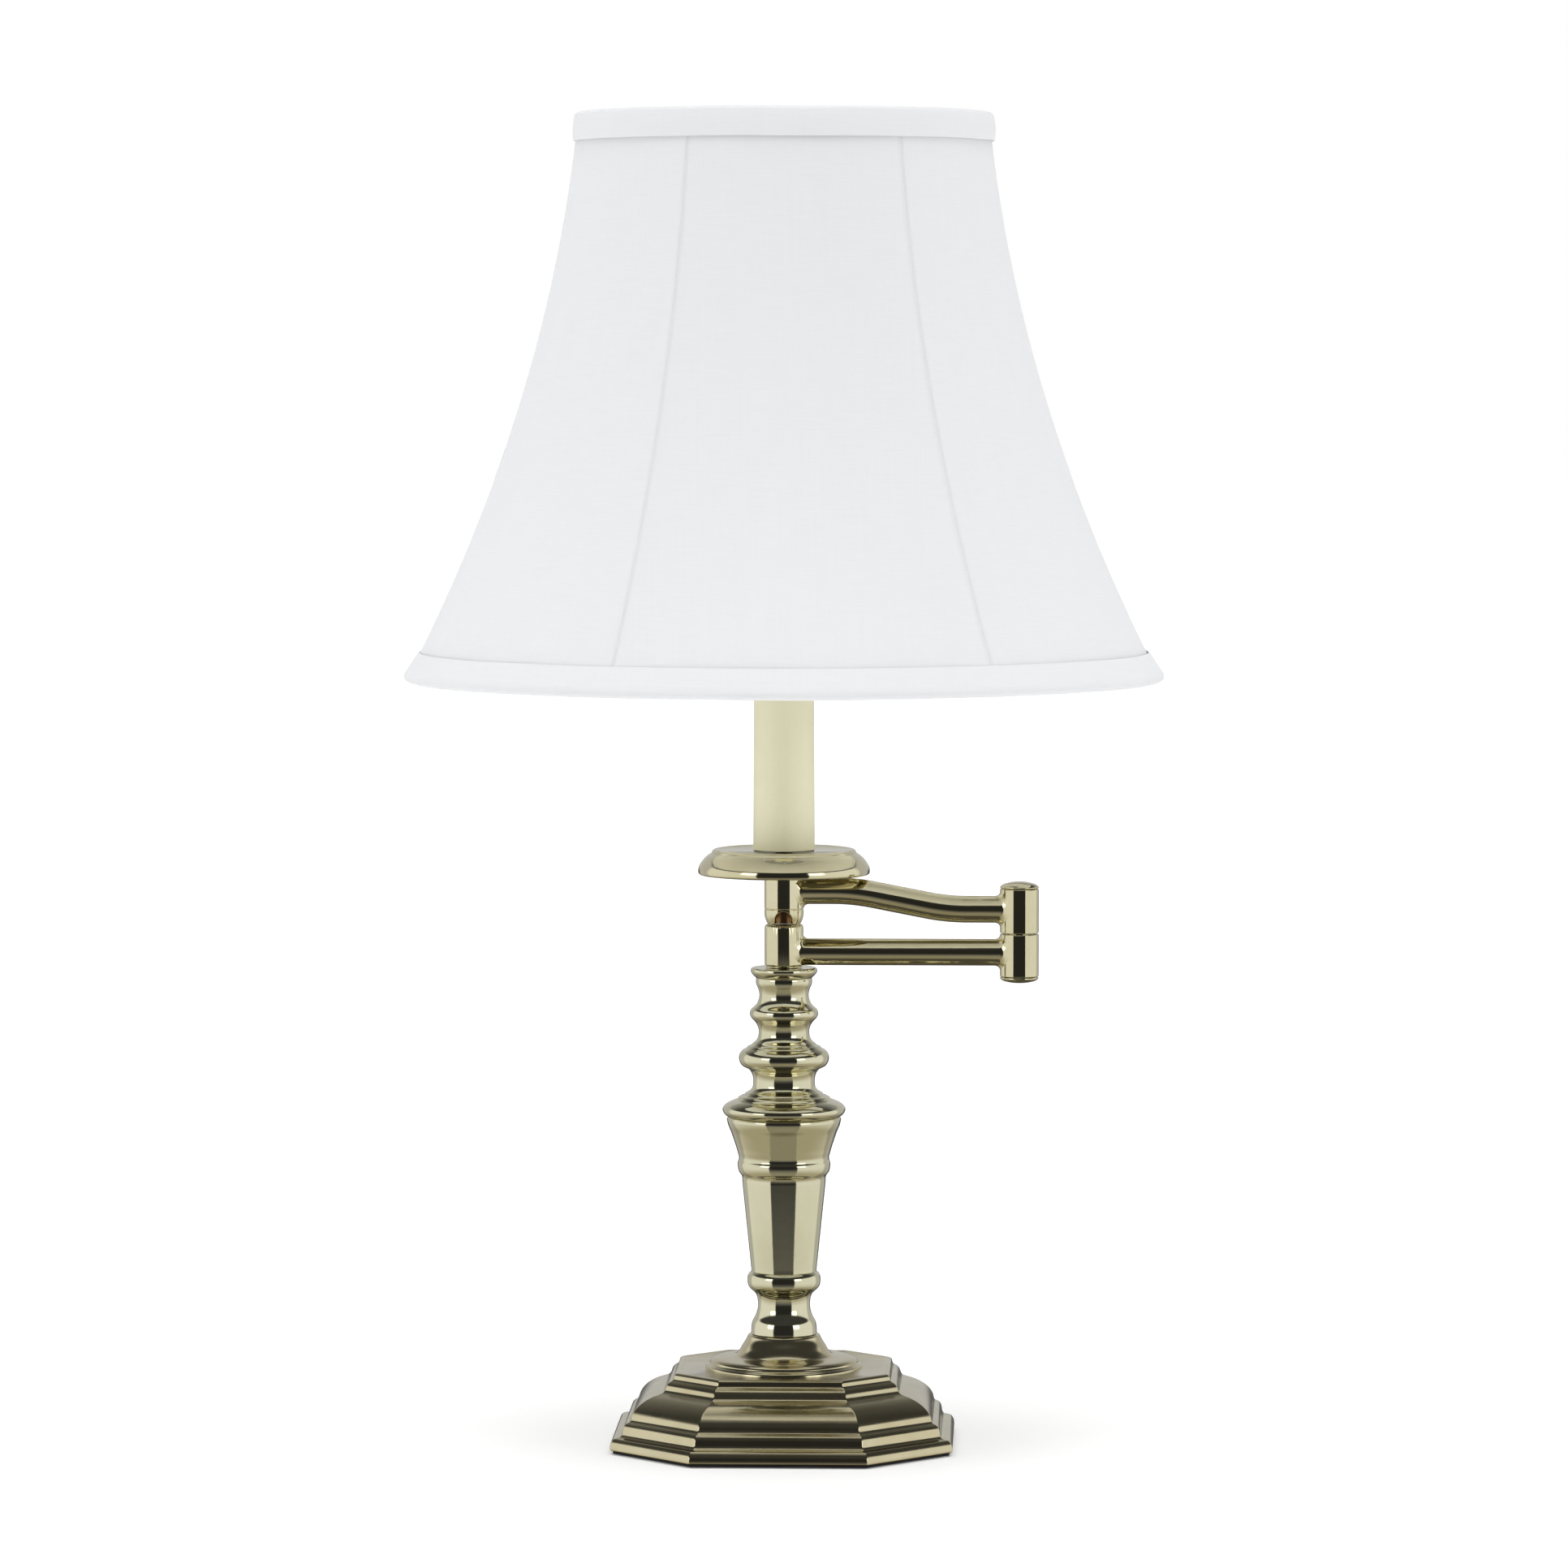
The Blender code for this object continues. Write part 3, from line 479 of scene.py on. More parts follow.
def plain(name, pale, dark, roughness, grain=700.0, depth=0.15, metallic=0.0):
    """A material with a fine mottled grain, for plastic, card, felt, enamel, iron and plated steel."""
    material, tree, shader = start(name)
    place = node_of(tree, "ShaderNodeTexCoord").outputs["Object"]
    speckle = clouds(tree, place, grain, 5.0, 0.7)
    patches = clouds(tree, place, grain / 18, 3.0)
    mixed = worked(tree, "ADD", speckle, patches)
    tree.links.new(blended(tree, ranged(tree, mixed, 0.75, 1.25), (*dark, 1), (*pale, 1)),
                   shader.inputs["Base Color"])
    tree.links.new(ranged(tree, patches, 0.3, 0.7, roughness - 0.06, min(1.0, roughness + 0.06)),
                   shader.inputs["Roughness"])
    tree.links.new(bumps(tree, speckle, depth, 0.0002), shader.inputs["Normal"])
    shader.inputs["Metallic"].default_value = metallic
    return material


def adjusted(material, values):
    """The material with its shader's inputs set to those values."""
    for key, value in values.items():
        material.node_tree.nodes["Principled BSDF"].inputs[key].default_value = value
    return material


def frosted(name):
    """An opal bulb: white glass with a faint silky finish."""
    glass = plain(name, (0.90, 0.90, 0.88), (0.84, 0.84, 0.82), 0.28, grain=260.0, depth=0.03)
    return adjusted(glass, {
        "Coat Weight": 0.35, "Subsurface Weight": 0.2, "Subsurface Radius": (0.004, 0.004, 0.004),
    })


def bright(name):
    """A white floor with a little light of its own."""
    floor = plain(name, (0.97, 0.97, 0.97), (0.96, 0.96, 0.96), 0.7, grain=4.0, depth=0)
    return adjusted(floor, {"Emission Color": (1.0, 1.0, 1.0, 1), "Emission Strength": 0.14})


LOOKS = {
    "polished": metal("polished_brass_look", (0.73, 0.685, 0.475), (0.65, 0.60, 0.39), 0.06, 0.02, peel=0.04,
                      coat=0.1),
    "column": metal("column_brass_look", (0.73, 0.70, 0.51), (0.65, 0.62, 0.43), 0.08, 0.03, peel=0.05,
                    turning=0.04, coat=0.1),
    "cast": metal("cast_brass_look", (0.68, 0.62, 0.42), (0.59, 0.525, 0.33), 0.16, 0.04, peel=0.08,
                  turning=0.0, coat=0.1),
    "candle": metal("candle_brass_look", (0.82, 0.79, 0.57), (0.79, 0.76, 0.54), 0.60, 0.03, peel=0.02,
                    turning=0.02, coat=0.05, metallic=0.2),
    "copper": metal("brown_copper_look", (0.42, 0.24, 0.11), (0.25, 0.13, 0.05), 0.28),
    "steel": plain("zinc_steel_look", (0.56, 0.56, 0.54), (0.44, 0.44, 0.43), 0.34, metallic=1.0),
    "iron": plain("cast_iron_look", (0.06, 0.06, 0.06), (0.035, 0.033, 0.032), 0.72, depth=0.5, metallic=0.8),
    "aluminium": metal("aluminium_look", (0.76, 0.76, 0.77), (0.68, 0.68, 0.69), 0.28, coat=0.0),
    "felt": plain("felt_look", (0.020, 0.020, 0.022), (0.008, 0.008, 0.009), 0.93, grain=1500.0, depth=0.8),
    "plastic": plain("black_plastic_look", (0.028, 0.028, 0.030), (0.018, 0.018, 0.019), 0.42, grain=1200.0),
    "card": plain("fibre_card_look", (0.50, 0.37, 0.23), (0.38, 0.27, 0.16), 0.82, grain=900.0, depth=0.3),
    "enamel": plain("white_wire_look", (0.80, 0.80, 0.78), (0.72, 0.72, 0.70), 0.40, grain=500.0, depth=0.06),
    "linen": woven("white_linen_look", (0.74, 0.745, 0.76), (0.705, 0.71, 0.725)),
    "lining": woven("white_lining_look", (0.80, 0.80, 0.79), (0.76, 0.76, 0.75), rows=4200.0, depth=0.25),
    "opal": frosted("opal_glass_look"),
    "floor": bright("floor_look"),
}


# ---------------------------------------------------------------- base

CORNER_REACH = 6.5  # how much further out the cut corners lie than the flat sides
ARRIS = 1.3  # radius of the rounded upright edges
ARRIS_STEPS = 5
ON_DECK = 0.05  # a point this near the deck's height is on the deck
PAST_COLLAR = 50  # radius at which there is only deck
PAST_BORE = 6  # radius outside the hole for the pipe
UNDER_LAP = 4  # how far in under the foot the casting's outline starts
DECK_LAP = 3  # how far in on the deck it ends
SLOT_WIDE, SLOT_HIGH = 0.43, 0.38  # half of the cord slot, as shares of the grommet's box
SLOT_LONG = 0.012  # metres: length of the slot's cutter
SLOT_IN = 0.004  # metres: how far its middle is inside the grommet's rear face


def corner_of(first, second, turn):
    """Where two sides at 45 degrees meet, at those distances from the middle, turned to the first side."""
    along = (second - first * math.cos(math.pi / 4)) / math.sin(math.pi / 4)
    c, s = math.cos(turn), math.sin(turn)
    return Vector((first * c - along * s, first * s + along * c))


def octagon(half, arris=ARRIS):
    """A square of that half width with cut corners and rounded arrises."""
    ring = []
    for side in range(8):
        turn = math.pi / 4 * side
        reaches = [half - arris, half + CORNER_REACH - arris]
        if side % 2:
            reaches.reverse()
        middle = corner_of(*reaches, turn)
        for step in range(ARRIS_STEPS + 1):
            angle = turn + math.pi / 4 * step / ARRIS_STEPS
            ring.append(middle + arris * Vector((math.cos(angle), math.sin(angle))))
    return ring


def build_base():
    """The stepped casting as a loft of octagons, its round collar, and the slot for the cord."""
    points, _ = section("base_casting", toward=LEFT)
    foot = min(range(len(points)), key=lambda i: (round(points[i][1], 1), -points[i][0]))
    points = points[foot:] + points[:foot]
    if points[1][1] < points[-1][1]:
        points = [points[0], *points[:0:-1]]
    deck = max(z for r, z in points if r > PAST_COLLAR)
    edge = next(i for i, (r, z) in enumerate(points) if z > deck - ON_DECK)
    under = (points[0][0] - UNDER_LAP, points[0][1])
    over = (points[edge][0] - DECK_LAP, deck)
    sides = rounded([under, *points[:edge + 1], over], False, 0.5)
    rings = [[(*(MM * value for value in spot), z * MM) for spot in octagon(half)] for half, z in sides]
    casting = piece_of("fine_base_casting", loft(rings), "cast")

    top = max(z for r, z in points)
    collar = [(r, z) for r, z in points[edge + 1:] if z > deck + ON_DECK and r > PAST_BORE]
    collar.sort(key=lambda spot: (-spot[1], spot[0]))
    line = rounded([(0, top), *collar, (collar[-1][0], deck - 1)], False, 0.4)
    ring = piece_of("base_collar", turned_mesh(line, False), "cast")
    cut_away(casting, placed("slot", mesh_of("slot", slot_cutter())))
    fitted(casting, "cast", "base", "base_casting")
    fitted(ring, "cast", "base")


def slot_cutter():
    """A lying oval rod through the rear of the casting, where the grommet's neck goes."""
    low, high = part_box("cord_grommet")
    shape = bmesh.new()
    bmesh.ops.create_cone(shape, cap_ends=True, segments=48, radius1=1, radius2=1, depth=1)
    bmesh.ops.rotate(shape, verts=shape.verts, matrix=Matrix.Rotation(math.pi / 2, 3, "X"))
    size = ((high[0] - low[0]) * SLOT_WIDE, SLOT_LONG, (high[2] - low[2]) * SLOT_HIGH)
    bmesh.ops.scale(shape, verts=shape.verts, vec=size)
    bmesh.ops.translate(shape, verts=shape.verts, vec=(0, high[1] - SLOT_IN, (high[2] + low[2]) / 2))
    return shape


# ---------------------------------------------------------------- arms

TUBE = 7.2  # radius of both arms
KNUCKLE = 10.4  # radius of the lower knuckle and of the elbow
BENDS = (37.3, 87.3)  # where the upper arm's level stretches meet its slant
BEND_RADIUS = 110.0
BEND_STEPS = 10
# The fillet at the end of a tube: distances from the knuckle, and how far it stands out from the tube there.
FLARE = [(-0.4, 2.6), (0.0, 2.1), (0.25, 1.45), (0.6, 0.95), (1.1, 0.5), (1.8, 0.16), (2.8, 0.0)]


def arm(name, path, near, far, low_flare):
    """A tube along a path in the XZ plane, brazed with a fillet to a knuckle of that (place, radius) at each
    end. low_flare is how much of the fillet there is under the tube at the near end."""
    turns = [2 * math.pi * k / SIDES_ARM for k in range(SIDES_ARM)]

    def ring_at(place, way, reach):
        up = Vector((-way.z, 0, way.x))
        return [
            place + up * (reach(turn) * math.sin(turn)) + Vector((0, reach(turn) * math.cos(turn), 0))
            for turn in turns
        ]

    def saddle(knuckle, side, height, low):
        rings = []
        for offset, flare in FLARE:
            def reach(angle, flare=flare):
                under = max(0.0, -math.sin(angle)) ** 1.5
                return TUBE + flare * (1 - under * (1 - low))
            ring = ring_at(Vector((0, 0, height)), Vector((1, 0, 0)), reach)
            for point in ring:
                point.x = knuckle[0] + side * (math.sqrt(max(0.0, knuckle[1] ** 2 - point.y**2)) + offset)
            rings.append(ring)
        return rings

    middle = []
    for i in range(1, len(path) - 1):
        way = (path[i + 1] - path[i - 1]).normalized()
        middle.append(ring_at(path[i], way, lambda angle: TUBE))
    rings = saddle(near, 1, path[0].z, low_flare) + middle + saddle(far, -1, path[-1].z, 1.0)[::-1]
    return piece_of(name, loft([[point * MM for point in ring] for ring in rings]), "polished")


def build_arms():
    """Both arms, the elbow and the lower knuckle."""
    head_low, head_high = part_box("head_knuckle")
    tube_low, tube_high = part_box("lower_arm_tube")
    arm_low, arm_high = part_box("upper_arm_tube")
    head = (head_high[0] - head_low[0]) / 2 / MM
    height = (tube_low[2] + tube_high[2]) / 2 / MM
    straight = [Vector((x, 0, height)) for x in (0, 20, 60, 100, ELBOW[0])]
    lower = arm("fine_lower_arm_tube", straight, (0, KNUCKLE), (ELBOW[0], KNUCKLE), 0.08)
    fitted(lower, "polished", "lower_arm", "lower_arm_tube")

    start_height = arm_high[2] / MM - TUBE
    end_height = arm_low[2] / MM + TUBE
    slope = math.atan2(start_height - end_height, BENDS[1] - BENDS[0])
    reach = BEND_RADIUS * math.tan(slope / 2)
    turns = [slope * step / BEND_STEPS for step in range(BEND_STEPS + 1)]
    path = [Vector((0, 0, start_height)), Vector((20, 0, start_height))]
    path += [Vector((BENDS[0] - reach + BEND_RADIUS * math.sin(turn), 0,
                     start_height - BEND_RADIUS * (1 - math.cos(turn)))) for turn in turns]
    path += [Vector((BENDS[1] + reach - BEND_RADIUS * math.sin(turn), 0,
                     end_height + BEND_RADIUS * (1 - math.cos(turn)))) for turn in reversed(turns)]
    path += [Vector((105, 0, end_height)), Vector((ELBOW[0], 0, end_height))]
    upper = arm("fine_upper_arm_tube", path, (0, head), (ELBOW[0], KNUCKLE), 1.0)
    fitted(upper, "polished", "upper_arm", "upper_arm_tube")

    for node, body in (
        ("elbow_lower_knuckle", "lower_arm"), ("elbow_bottom_cap", "lower_arm"), ("elbow_stud", "lower_arm"),
        ("elbow_upper_knuckle", "upper_arm"), ("elbow_top_cap", "upper_arm"),
    ):
        returned(node, "polished", body, ELBOW)
    returned("elbow_washer", "card", "lower_arm", ELBOW, sides=SIDES_SMALL)
    returned("swivel_cover", "polished", "lower_arm")
    build_lower_knuckle()


HEAD_GROOVE = 287.6  # height of the groove round the head knuckle
GROOVE_DEPTH = 0.28
GROOVE_HALF = 0.4  # half its width at the surface
GROOVE_FLOOR = 0.16  # and at its floor


def grooved(points, height):
    """An outline with a groove cut into its straight outer side at that height."""
    widest = max(r for r, z in points)
    floor = widest - GROOVE_DEPTH
    made = []
    for here, ahead in zip(points, points[1:] + points[:1]):
        made.append(here)
        low, high = sorted((here[1], ahead[1]))
        on_side = min(here[0], ahead[0]) > widest - 0.05
        if on_side and low < height - GROOVE_HALF and height + GROOVE_HALF < high:
            way = 1 if ahead[1] > here[1] else -1
            made += [(widest, height - way * GROOVE_HALF), (floor, height - way * GROOVE_FLOOR),
                     (floor, height + way * GROOVE_FLOOR), (widest, height + way * GROOVE_HALF)]
    return made


def reach_at(points, height):
    """How far out an outline's outer side lies at that height."""
    best = 0.0
    for (r1, z1), (r2, z2) in zip(points, points[1:] + points[:1]):
        if abs(z2 - z1) > 1e-6 and min(z1, z2) - 1e-6 <= height <= max(z1, z2) + 1e-6:
            best = max(best, r1 + (r2 - r1) * (height - z1) / (z2 - z1))
    return best


NOTCH_RADIUS = 4.5
NOTCH_TOP = 282.0  # height of the middle of its arch
NOTCH_EDGE = 0.45  # radius of its rounded edge
NOTCH_DEPTH = 4.4
NOTCH_DROPS = (0.8, 1.6, 2.4, 3.6, 6.0)  # depths under the arch of the points down its sides
ARCH_STEPS = 24
EDGE_STEPS = 4


def notch_cutter(points):
    """The arched notch as a solid that is wider where it meets the knuckle's surface, for a rounded edge."""
    lowest = min(z for r, z in points) + 0.01
    arch = [math.pi * i / ARCH_STEPS for i in range(ARCH_STEPS + 1)]
    outline = [(math.cos(turn), math.sin(turn), NOTCH_TOP) for turn in arch]
    outline += [(-1.0, 0.0, NOTCH_TOP - drop) for drop in NOTCH_DROPS]
    outline += [(1.0, 0.0, NOTCH_TOP - drop) for drop in reversed(NOTCH_DROPS)]
    turns = [math.pi / 2 * i / EDGE_STEPS for i in range(EDGE_STEPS + 1)]
    layers = [(NOTCH_EDGE, 1.5)]
    layers += [(NOTCH_EDGE * (1 - math.sin(t)), NOTCH_EDGE * (math.cos(t) - 1) + 0.02) for t in turns]
    layers += [(0.0, -NOTCH_DEPTH)]
    rings = []
    for grow, deep in layers:
        ring = []
        for across, up, base in outline:
            x, z = across * (NOTCH_RADIUS + grow), base + up * (NOTCH_RADIUS + grow)
            reach = reach_at(points, max(lowest, z)) + deep
            ring.append((x * MM, -math.sqrt(max(0.0, reach**2 - x**2)) * MM, z * MM))
        rings.append(ring)
    return piece_of("notch", loft(rings), "polished")


def build_head_knuckle():
    """The knuckle over the column, with the arched notch that shows the bush inside."""
    points, closed = section("head_knuckle")
    line = rounded(grooved(points, HEAD_GROOVE), closed)
    knuckle = piece_of("fine_head_knuckle", turned_mesh(line, closed, 160), "polished")
    cut_away(knuckle, notch_cutter(points))
    fitted(knuckle, "polished", "upper_arm", "head_knuckle")


TEETH = 44
KNURL_HIGH = 1.4  # height of the knurled rim
KNURL_INSIDE = 8.8  # radius inside which there is none
KNURL_DEPTH = 0.016  # as a share of the radius


def build_lower_knuckle():
    """The knuckle on the column, with a fine knurl round its top rim."""
    knuckle = returned("lower_knuckle", "polished", "lower_arm", sides=6 * TEETH)
    top = max(vert.co.z for vert in knuckle.data.vertices)
    for vert in knuckle.data.vertices:
        if vert.co.z >= top - KNURL_HIGH * MM and vert.co.xy.length >= KNURL_INSIDE * MM:
            tooth = 0.5 - 0.5 * math.cos(TEETH * math.atan2(vert.co.y, vert.co.x))
            vert.co.xy *= 1 - KNURL_DEPTH * tooth


# ---------------------------------------------------------------- harp

HARP_LEG = 22.5  # how far each leg is from the axis
HARP_STRAIGHT = 485  # height up to which the legs are straight
# Half of the harp over that, as points seen from the front.
HARP_SIDE = [(HARP_LEG, 497.0), (29.0, 516.0), (43.0, 545.0), (52.5, 580.0), (55.0, 612.0), (50.0, 645.0),
             (36.0, 668.0), (17.0, 680.5), (0, 683.0)]
# The outline of the seat and the threaded post on top of it.
HARP_SEAT = [(0, 700.0), (2.6, 700.0), (3.1, 699.5), (3.1, 686.4), (8.0, 686.4), (8.6, 685.7), (8.0, 685.0),
             (3.4, 683.4), (0, 683.4)]


def build_harp():
    """The bent wire and the seat that the shade's spider lies on."""
    half = smooth_run(HARP_SIDE, 3.0, straight=50.0)
    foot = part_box("harp")[0][2] / MM
    path = [(-HARP_LEG, 0, foot), (-HARP_LEG, 0, HARP_STRAIGHT)]
    path += [(-x, 0, z) for x, z in half] + [(x, 0, z) for x, z in half[-2::-1]]
    path += [(HARP_LEG, 0, HARP_STRAIGHT), (HARP_LEG, 0, foot)]
    fitted(wire("fine_harp", path, 1.6, "polished"), "polished", "upper_arm", "harp")
    seat = turned_mesh(rounded(HARP_SEAT, False), False, SIDES_SMALL)
    fitted(piece_of("harp_seat", seat, "polished"), "polished", "upper_arm")


# ---------------------------------------------------------------- shade

SHADE_TURN = math.radians(5.2)  # direction of the first rib
SHADE_WAY = (math.cos(SHADE_TURN), math.sin(SHADE_TURN))
RIBS = 6
PANEL = 2 * math.pi / RIBS  # the angle that a panel spans
BELL_TOP, SHADE_TOP, SHADE_FOOT = 697.0, 712.0, 410.0
PANEL_ROWS = 64
PANEL_COLUMNS = 22  # between the last columns of SEAM_STEPS
SEAM_STEPS = [0.0, 0.35, 0.8, 1.4, 2.2, 3.4, 5.5, 9.0]  # distances from a seam of the first columns
SEAM_HEIGHT = 0.42
SEAM_HALF = 1.5  # half the width of the raised seam
SEAM_LINE = 0.4  # half the width of the line down its middle
SLACK = 0.55  # how far the cloth moves in and out between the ribs
CALM = 14.0  # distance from a seam at which the slack sets in
BAND_SIDES = 180
BAND_SLACK = 0.22
BAND_LIFT = 0.25
# One arm of the spider from the hub outwards, as (radius, height) points.
SPIDER_ARM = [(9.0, 687.5), (30.0, 688.6), (60.0, 693.5), (88.0, 699.4), (99.0, 700.9), (104.8, 700.9),
              (106.6, 701.9), (106.9, 703.6)]


def bell_radius(height):
    """The bell's radius at a height."""
    depth = BELL_TOP - height
    return 110.6 + 0.119 * depth + 0.00069 * depth * depth


def cover_radius(height, angle):
    """The cover's radius at an angle from a rib, flatter between the ribs than a round section."""
    half = PANEL / 2
    from_rib = abs((angle + half) % PANEL - half)
    straight = math.cos(half) / math.cos(half - from_rib)
    rise = (height - SHADE_FOOT) / (SHADE_TOP - SHADE_FOOT)
    pull = 0.3 * math.sin(math.pi * min(1.0, max(0.0, rise))) ** 1.2
    return bell_radius(height) * (1 + pull * (straight - 1))


def cloth_panel(name, number, foot, top, inset, thick, look, ridge):
    """One stretched panel between two ribs, with its seam edges standing slightly proud over the ribs. Gives
    the piece, and the cloth's flat size and area in metres."""
    shape = bmesh.new()
    uv = shape.loops.layers.uv.new("weave")
    seam = shape.verts.layers.float.new("seam")
    grid = []
    along = area = 0.0
    before = None
    for row in range(PANEL_ROWS + 1):
        height = top + (foot - top) * row / PANEL_ROWS
        mean = bell_radius(height) - inset
        if before:
            step = math.hypot(mean - before[0], height - before[1])
            along += step
            area += step * (mean + before[0]) / 2 * PANEL
        before = (mean, height)
        width = mean * PANEL
        last = SEAM_STEPS[-1]
        inner = [last + (width - 2 * last) * i / PANEL_COLUMNS for i in range(1, PANEL_COLUMNS)]
        line = []
        for distance in [*SEAM_STEPS, *inner, *(width - value for value in reversed(SEAM_STEPS))]:
            near = min(distance, width - distance)
            crest = math.exp(-((near / SEAM_HALF) ** 2))
            groove = math.exp(-((near / SEAM_LINE) ** 2))
            calm = 1 - math.exp(-((near / CALM) ** 2))
            angle = distance / mean
            full = PANEL * number + SHADE_TURN + angle
            c, s = math.cos(full), math.sin(full)
            slack = noise.noise(Vector((c * 9.0, s * 9.0, height * 0.012 + inset)))
            radius = cover_radius(height, angle) - inset + ridge * SEAM_HEIGHT * (crest - groove)
            radius += SLACK * slack * calm * math.sin(math.pi * row / PANEL_ROWS)
            vert = shape.verts.new((c * radius * MM, s * radius * MM, height * MM))
            # the seam mask, which the cloth's material darkens as painted shade; weaker on the lining
            vert[seam] = crest * ridge
            line.append((vert, (number * PANEL * 0.15 + (distance - width / 2) * MM, along * MM)))
        grid.append(line)
    for high, low in zip(grid, grid[1:]):
        for i in range(len(high) - 1):
            corners = (low[i], low[i + 1], high[i + 1], high[i])
            face = shape.faces.new([vert for vert, _ in corners])
            for loop, (_, place) in zip(face.loops, corners):
                loop[uv].uv = place
    piece = placed(name, mesh_of(name, shape))
    piece.data.materials.append(LOOKS[look])
    solid = piece.modifiers.new("thickness", "SOLIDIFY")
    solid.thickness = thick * MM
    solid.offset = -1
    smoothed(applied(piece), math.radians(60))
    fitted(piece, look, "upper_arm")
    return piece, ((bell_radius(foot) - inset) * PANEL * MM, along * MM), area * MM * MM


def band(node):
    """A fabric band turned again from its CAD outline, with a weave that runs round it. Its cloth is a strip
    of that width, as long as a circle of that radius."""
    points, closed = section(node, toward=SHADE_WAY)
    line = rounded(points, closed, 0.45, 1.6)
    shape = bmesh.new()
    uv = shape.loops.layers.uv.new("weave")
    shape.verts.layers.float.new("seam")
    lengths = [0.0]
    for a, b in zip(line, line[1:] + line[:1]):
        lengths.append(lengths[-1] + (b - a).length)
    columns = []
    for side in range(BAND_SIDES):
        angle = 2 * math.pi * side / BAND_SIDES
        c, s = math.cos(angle), math.sin(angle)
        lift = BAND_LIFT * noise.noise(Vector((c * 3.0, s * 3.0, 7.7)))
        column = []
        for r, z in line:
            reach = r + BAND_SLACK * noise.noise(Vector((c * 4.5, s * 4.5, z * 0.05)))
            column.append(shape.verts.new((c * reach * MM, s * reach * MM, (z + lift) * MM)))
        columns.append(column)
    across = 2 * math.pi / BAND_SIDES * line[0][0] * MM
    for side, (left, right) in enumerate(zip(columns, columns[1:] + columns[:1])):
        for i in range(len(line)):
            j = (i + 1) % len(line)
            face = shape.faces.new((left[i], right[i], right[j], left[j]))
            for loop, (u, v) in zip(face.loops, ((side, i), (side + 1, i), (side + 1, i + 1), (side, i + 1))):
                loop[uv].uv = (u * across, lengths[v] * MM)
    bmesh.ops.recalc_face_normals(shape, faces=shape.faces)
    piece = placed("fine_" + node, mesh_of("fine_" + node, shape))
    piece.data.shade_smooth()
    piece.data.materials.append(LOOKS["linen"])
    fitted(piece, "linen", "upper_arm", node)


def build_shade():
    """The wire frame, six panels and six lining panels, the bands over both rims, and the spider."""
    cover_foot, cover_top = (corner[2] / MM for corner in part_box("shade_cover"))
    lining_foot, lining_top = (corner[2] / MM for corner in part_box("shade_lining"))
    for number in range(RIBS):
        outer, outer_flat, outer_area = cloth_panel(
            f"shade_panel_{number + 1}", number, cover_foot, cover_top, 0.0, 0.9, "linen", 1.0)
        inner, inner_flat, inner_area = cloth_panel(
            f"lining_panel_{number + 1}", number, lining_foot, lining_top, 4.9, 0.7, "lining", 0.25)
        if number == 0:
            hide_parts("shade_cover")
            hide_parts("shade_lining")

    top, foot = cover_top - 6.7, cover_foot + 3.8  # where the ribs end, at the wire rings
    heights = [top + (foot - top) * step / 40 for step in range(41)]
    for number in range(RIBS):
        angle = SHADE_TURN + PANEL * number
        reaches = [bell_radius(height) - 2.9 for height in heights]
        path = [(math.cos(angle) * reach, math.sin(angle) * reach, z) for reach, z in zip(reaches, heights)]
        rib = wire(f"fine_shade_rib_{number + 1}", path, 1.2, "enamel")
        fitted(rib, "enamel", "upper_arm", f"shade_rib_{number + 1}")
    for node in ("shade_top_ring", "shade_bottom_ring"):
        returned(node, "enamel", "upper_arm", toward=SHADE_WAY, sides=144, edge=0.9)
    band("shade_top_band")
    band("shade_bottom_band")

    hub = returned("spider", "enamel", "upper_arm", sides=SIDES_SMALL)
    reach = smooth_run(SPIDER_ARM, 4.0, straight=50.0)
    for number in range(3):
        angle = SHADE_TURN + math.radians(30 + 120 * number)
        path = [(r * math.cos(angle), r * math.sin(angle), z) for r, z in reach]
        wire(f"spider_arm_{number + 1}", path, 1.2, "enamel").parent = hub


# ---------------------------------------------------------------- everything


def build():
    """Every piece of the lamp."""
    build_base()
    felt = softened("felt_pad", "felt", "base", 0.5)
    low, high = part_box("felt_pad")
    side = high[0] - low[0]
    softened("cord_grommet", "plastic", "base", 0.35)
    for node in ("column_neck", "column_cone", "column_spindle"):
        returned(node, "column", "base")
    for node in ("swivel_stem", "swivel_bearing"):
        returned(node, "polished", "base")
    for node, look in (("column_pipe", "steel"), ("base_washer", "steel"), ("base_weight", "iron"),
                       ("swivel_washer", "card")):
        returned(node, look, "base", sides=SIDES_SMALL)
    for node, body in (("base_nut", "base"), ("swivel_nut", "base"), ("elbow_nut", "lower_arm"),
                       ("pan_nut", "upper_arm")):
        softened(node, "steel", body, 0.3)
    build_arms()
    build_head_knuckle()
    returned("head_bushing", "copper", "upper_arm")
    returned("drip_pan", "polished", "upper_arm", sides=144)
    for node in ("candle_tube", "candle_cap"):
        returned(node, "candle", "upper_arm")
    for node in ("socket_cap", "socket_shell", "finial"):
        returned(node, "polished", "upper_arm")
    for node, look in (("candle_pipe", "steel"), ("socket_liner", "card"), ("socket_body", "plastic"),
                       ("screw_shell", "aluminium"), ("bulb_cap", "aluminium"), ("bulb_glass", "opal"),
                       ("centre_contact", "polished")):
        returned(node, look, "upper_arm", sides=SIDES_SMALL)
    for side, x in (("left", -HARP_LEG), ("right", HARP_LEG)):
        returned("harp_sleeve_" + side, "polished", side + "_sleeve", (x, 0), sides=SIDES_SMALL)
    softened("harp_saddle", "polished", "upper_arm", 0.3)
    softened("switch_knob", "plastic", "switch", 0.7)
    build_harp()
    build_shade()


# ---------------------------------------------------------------- studio


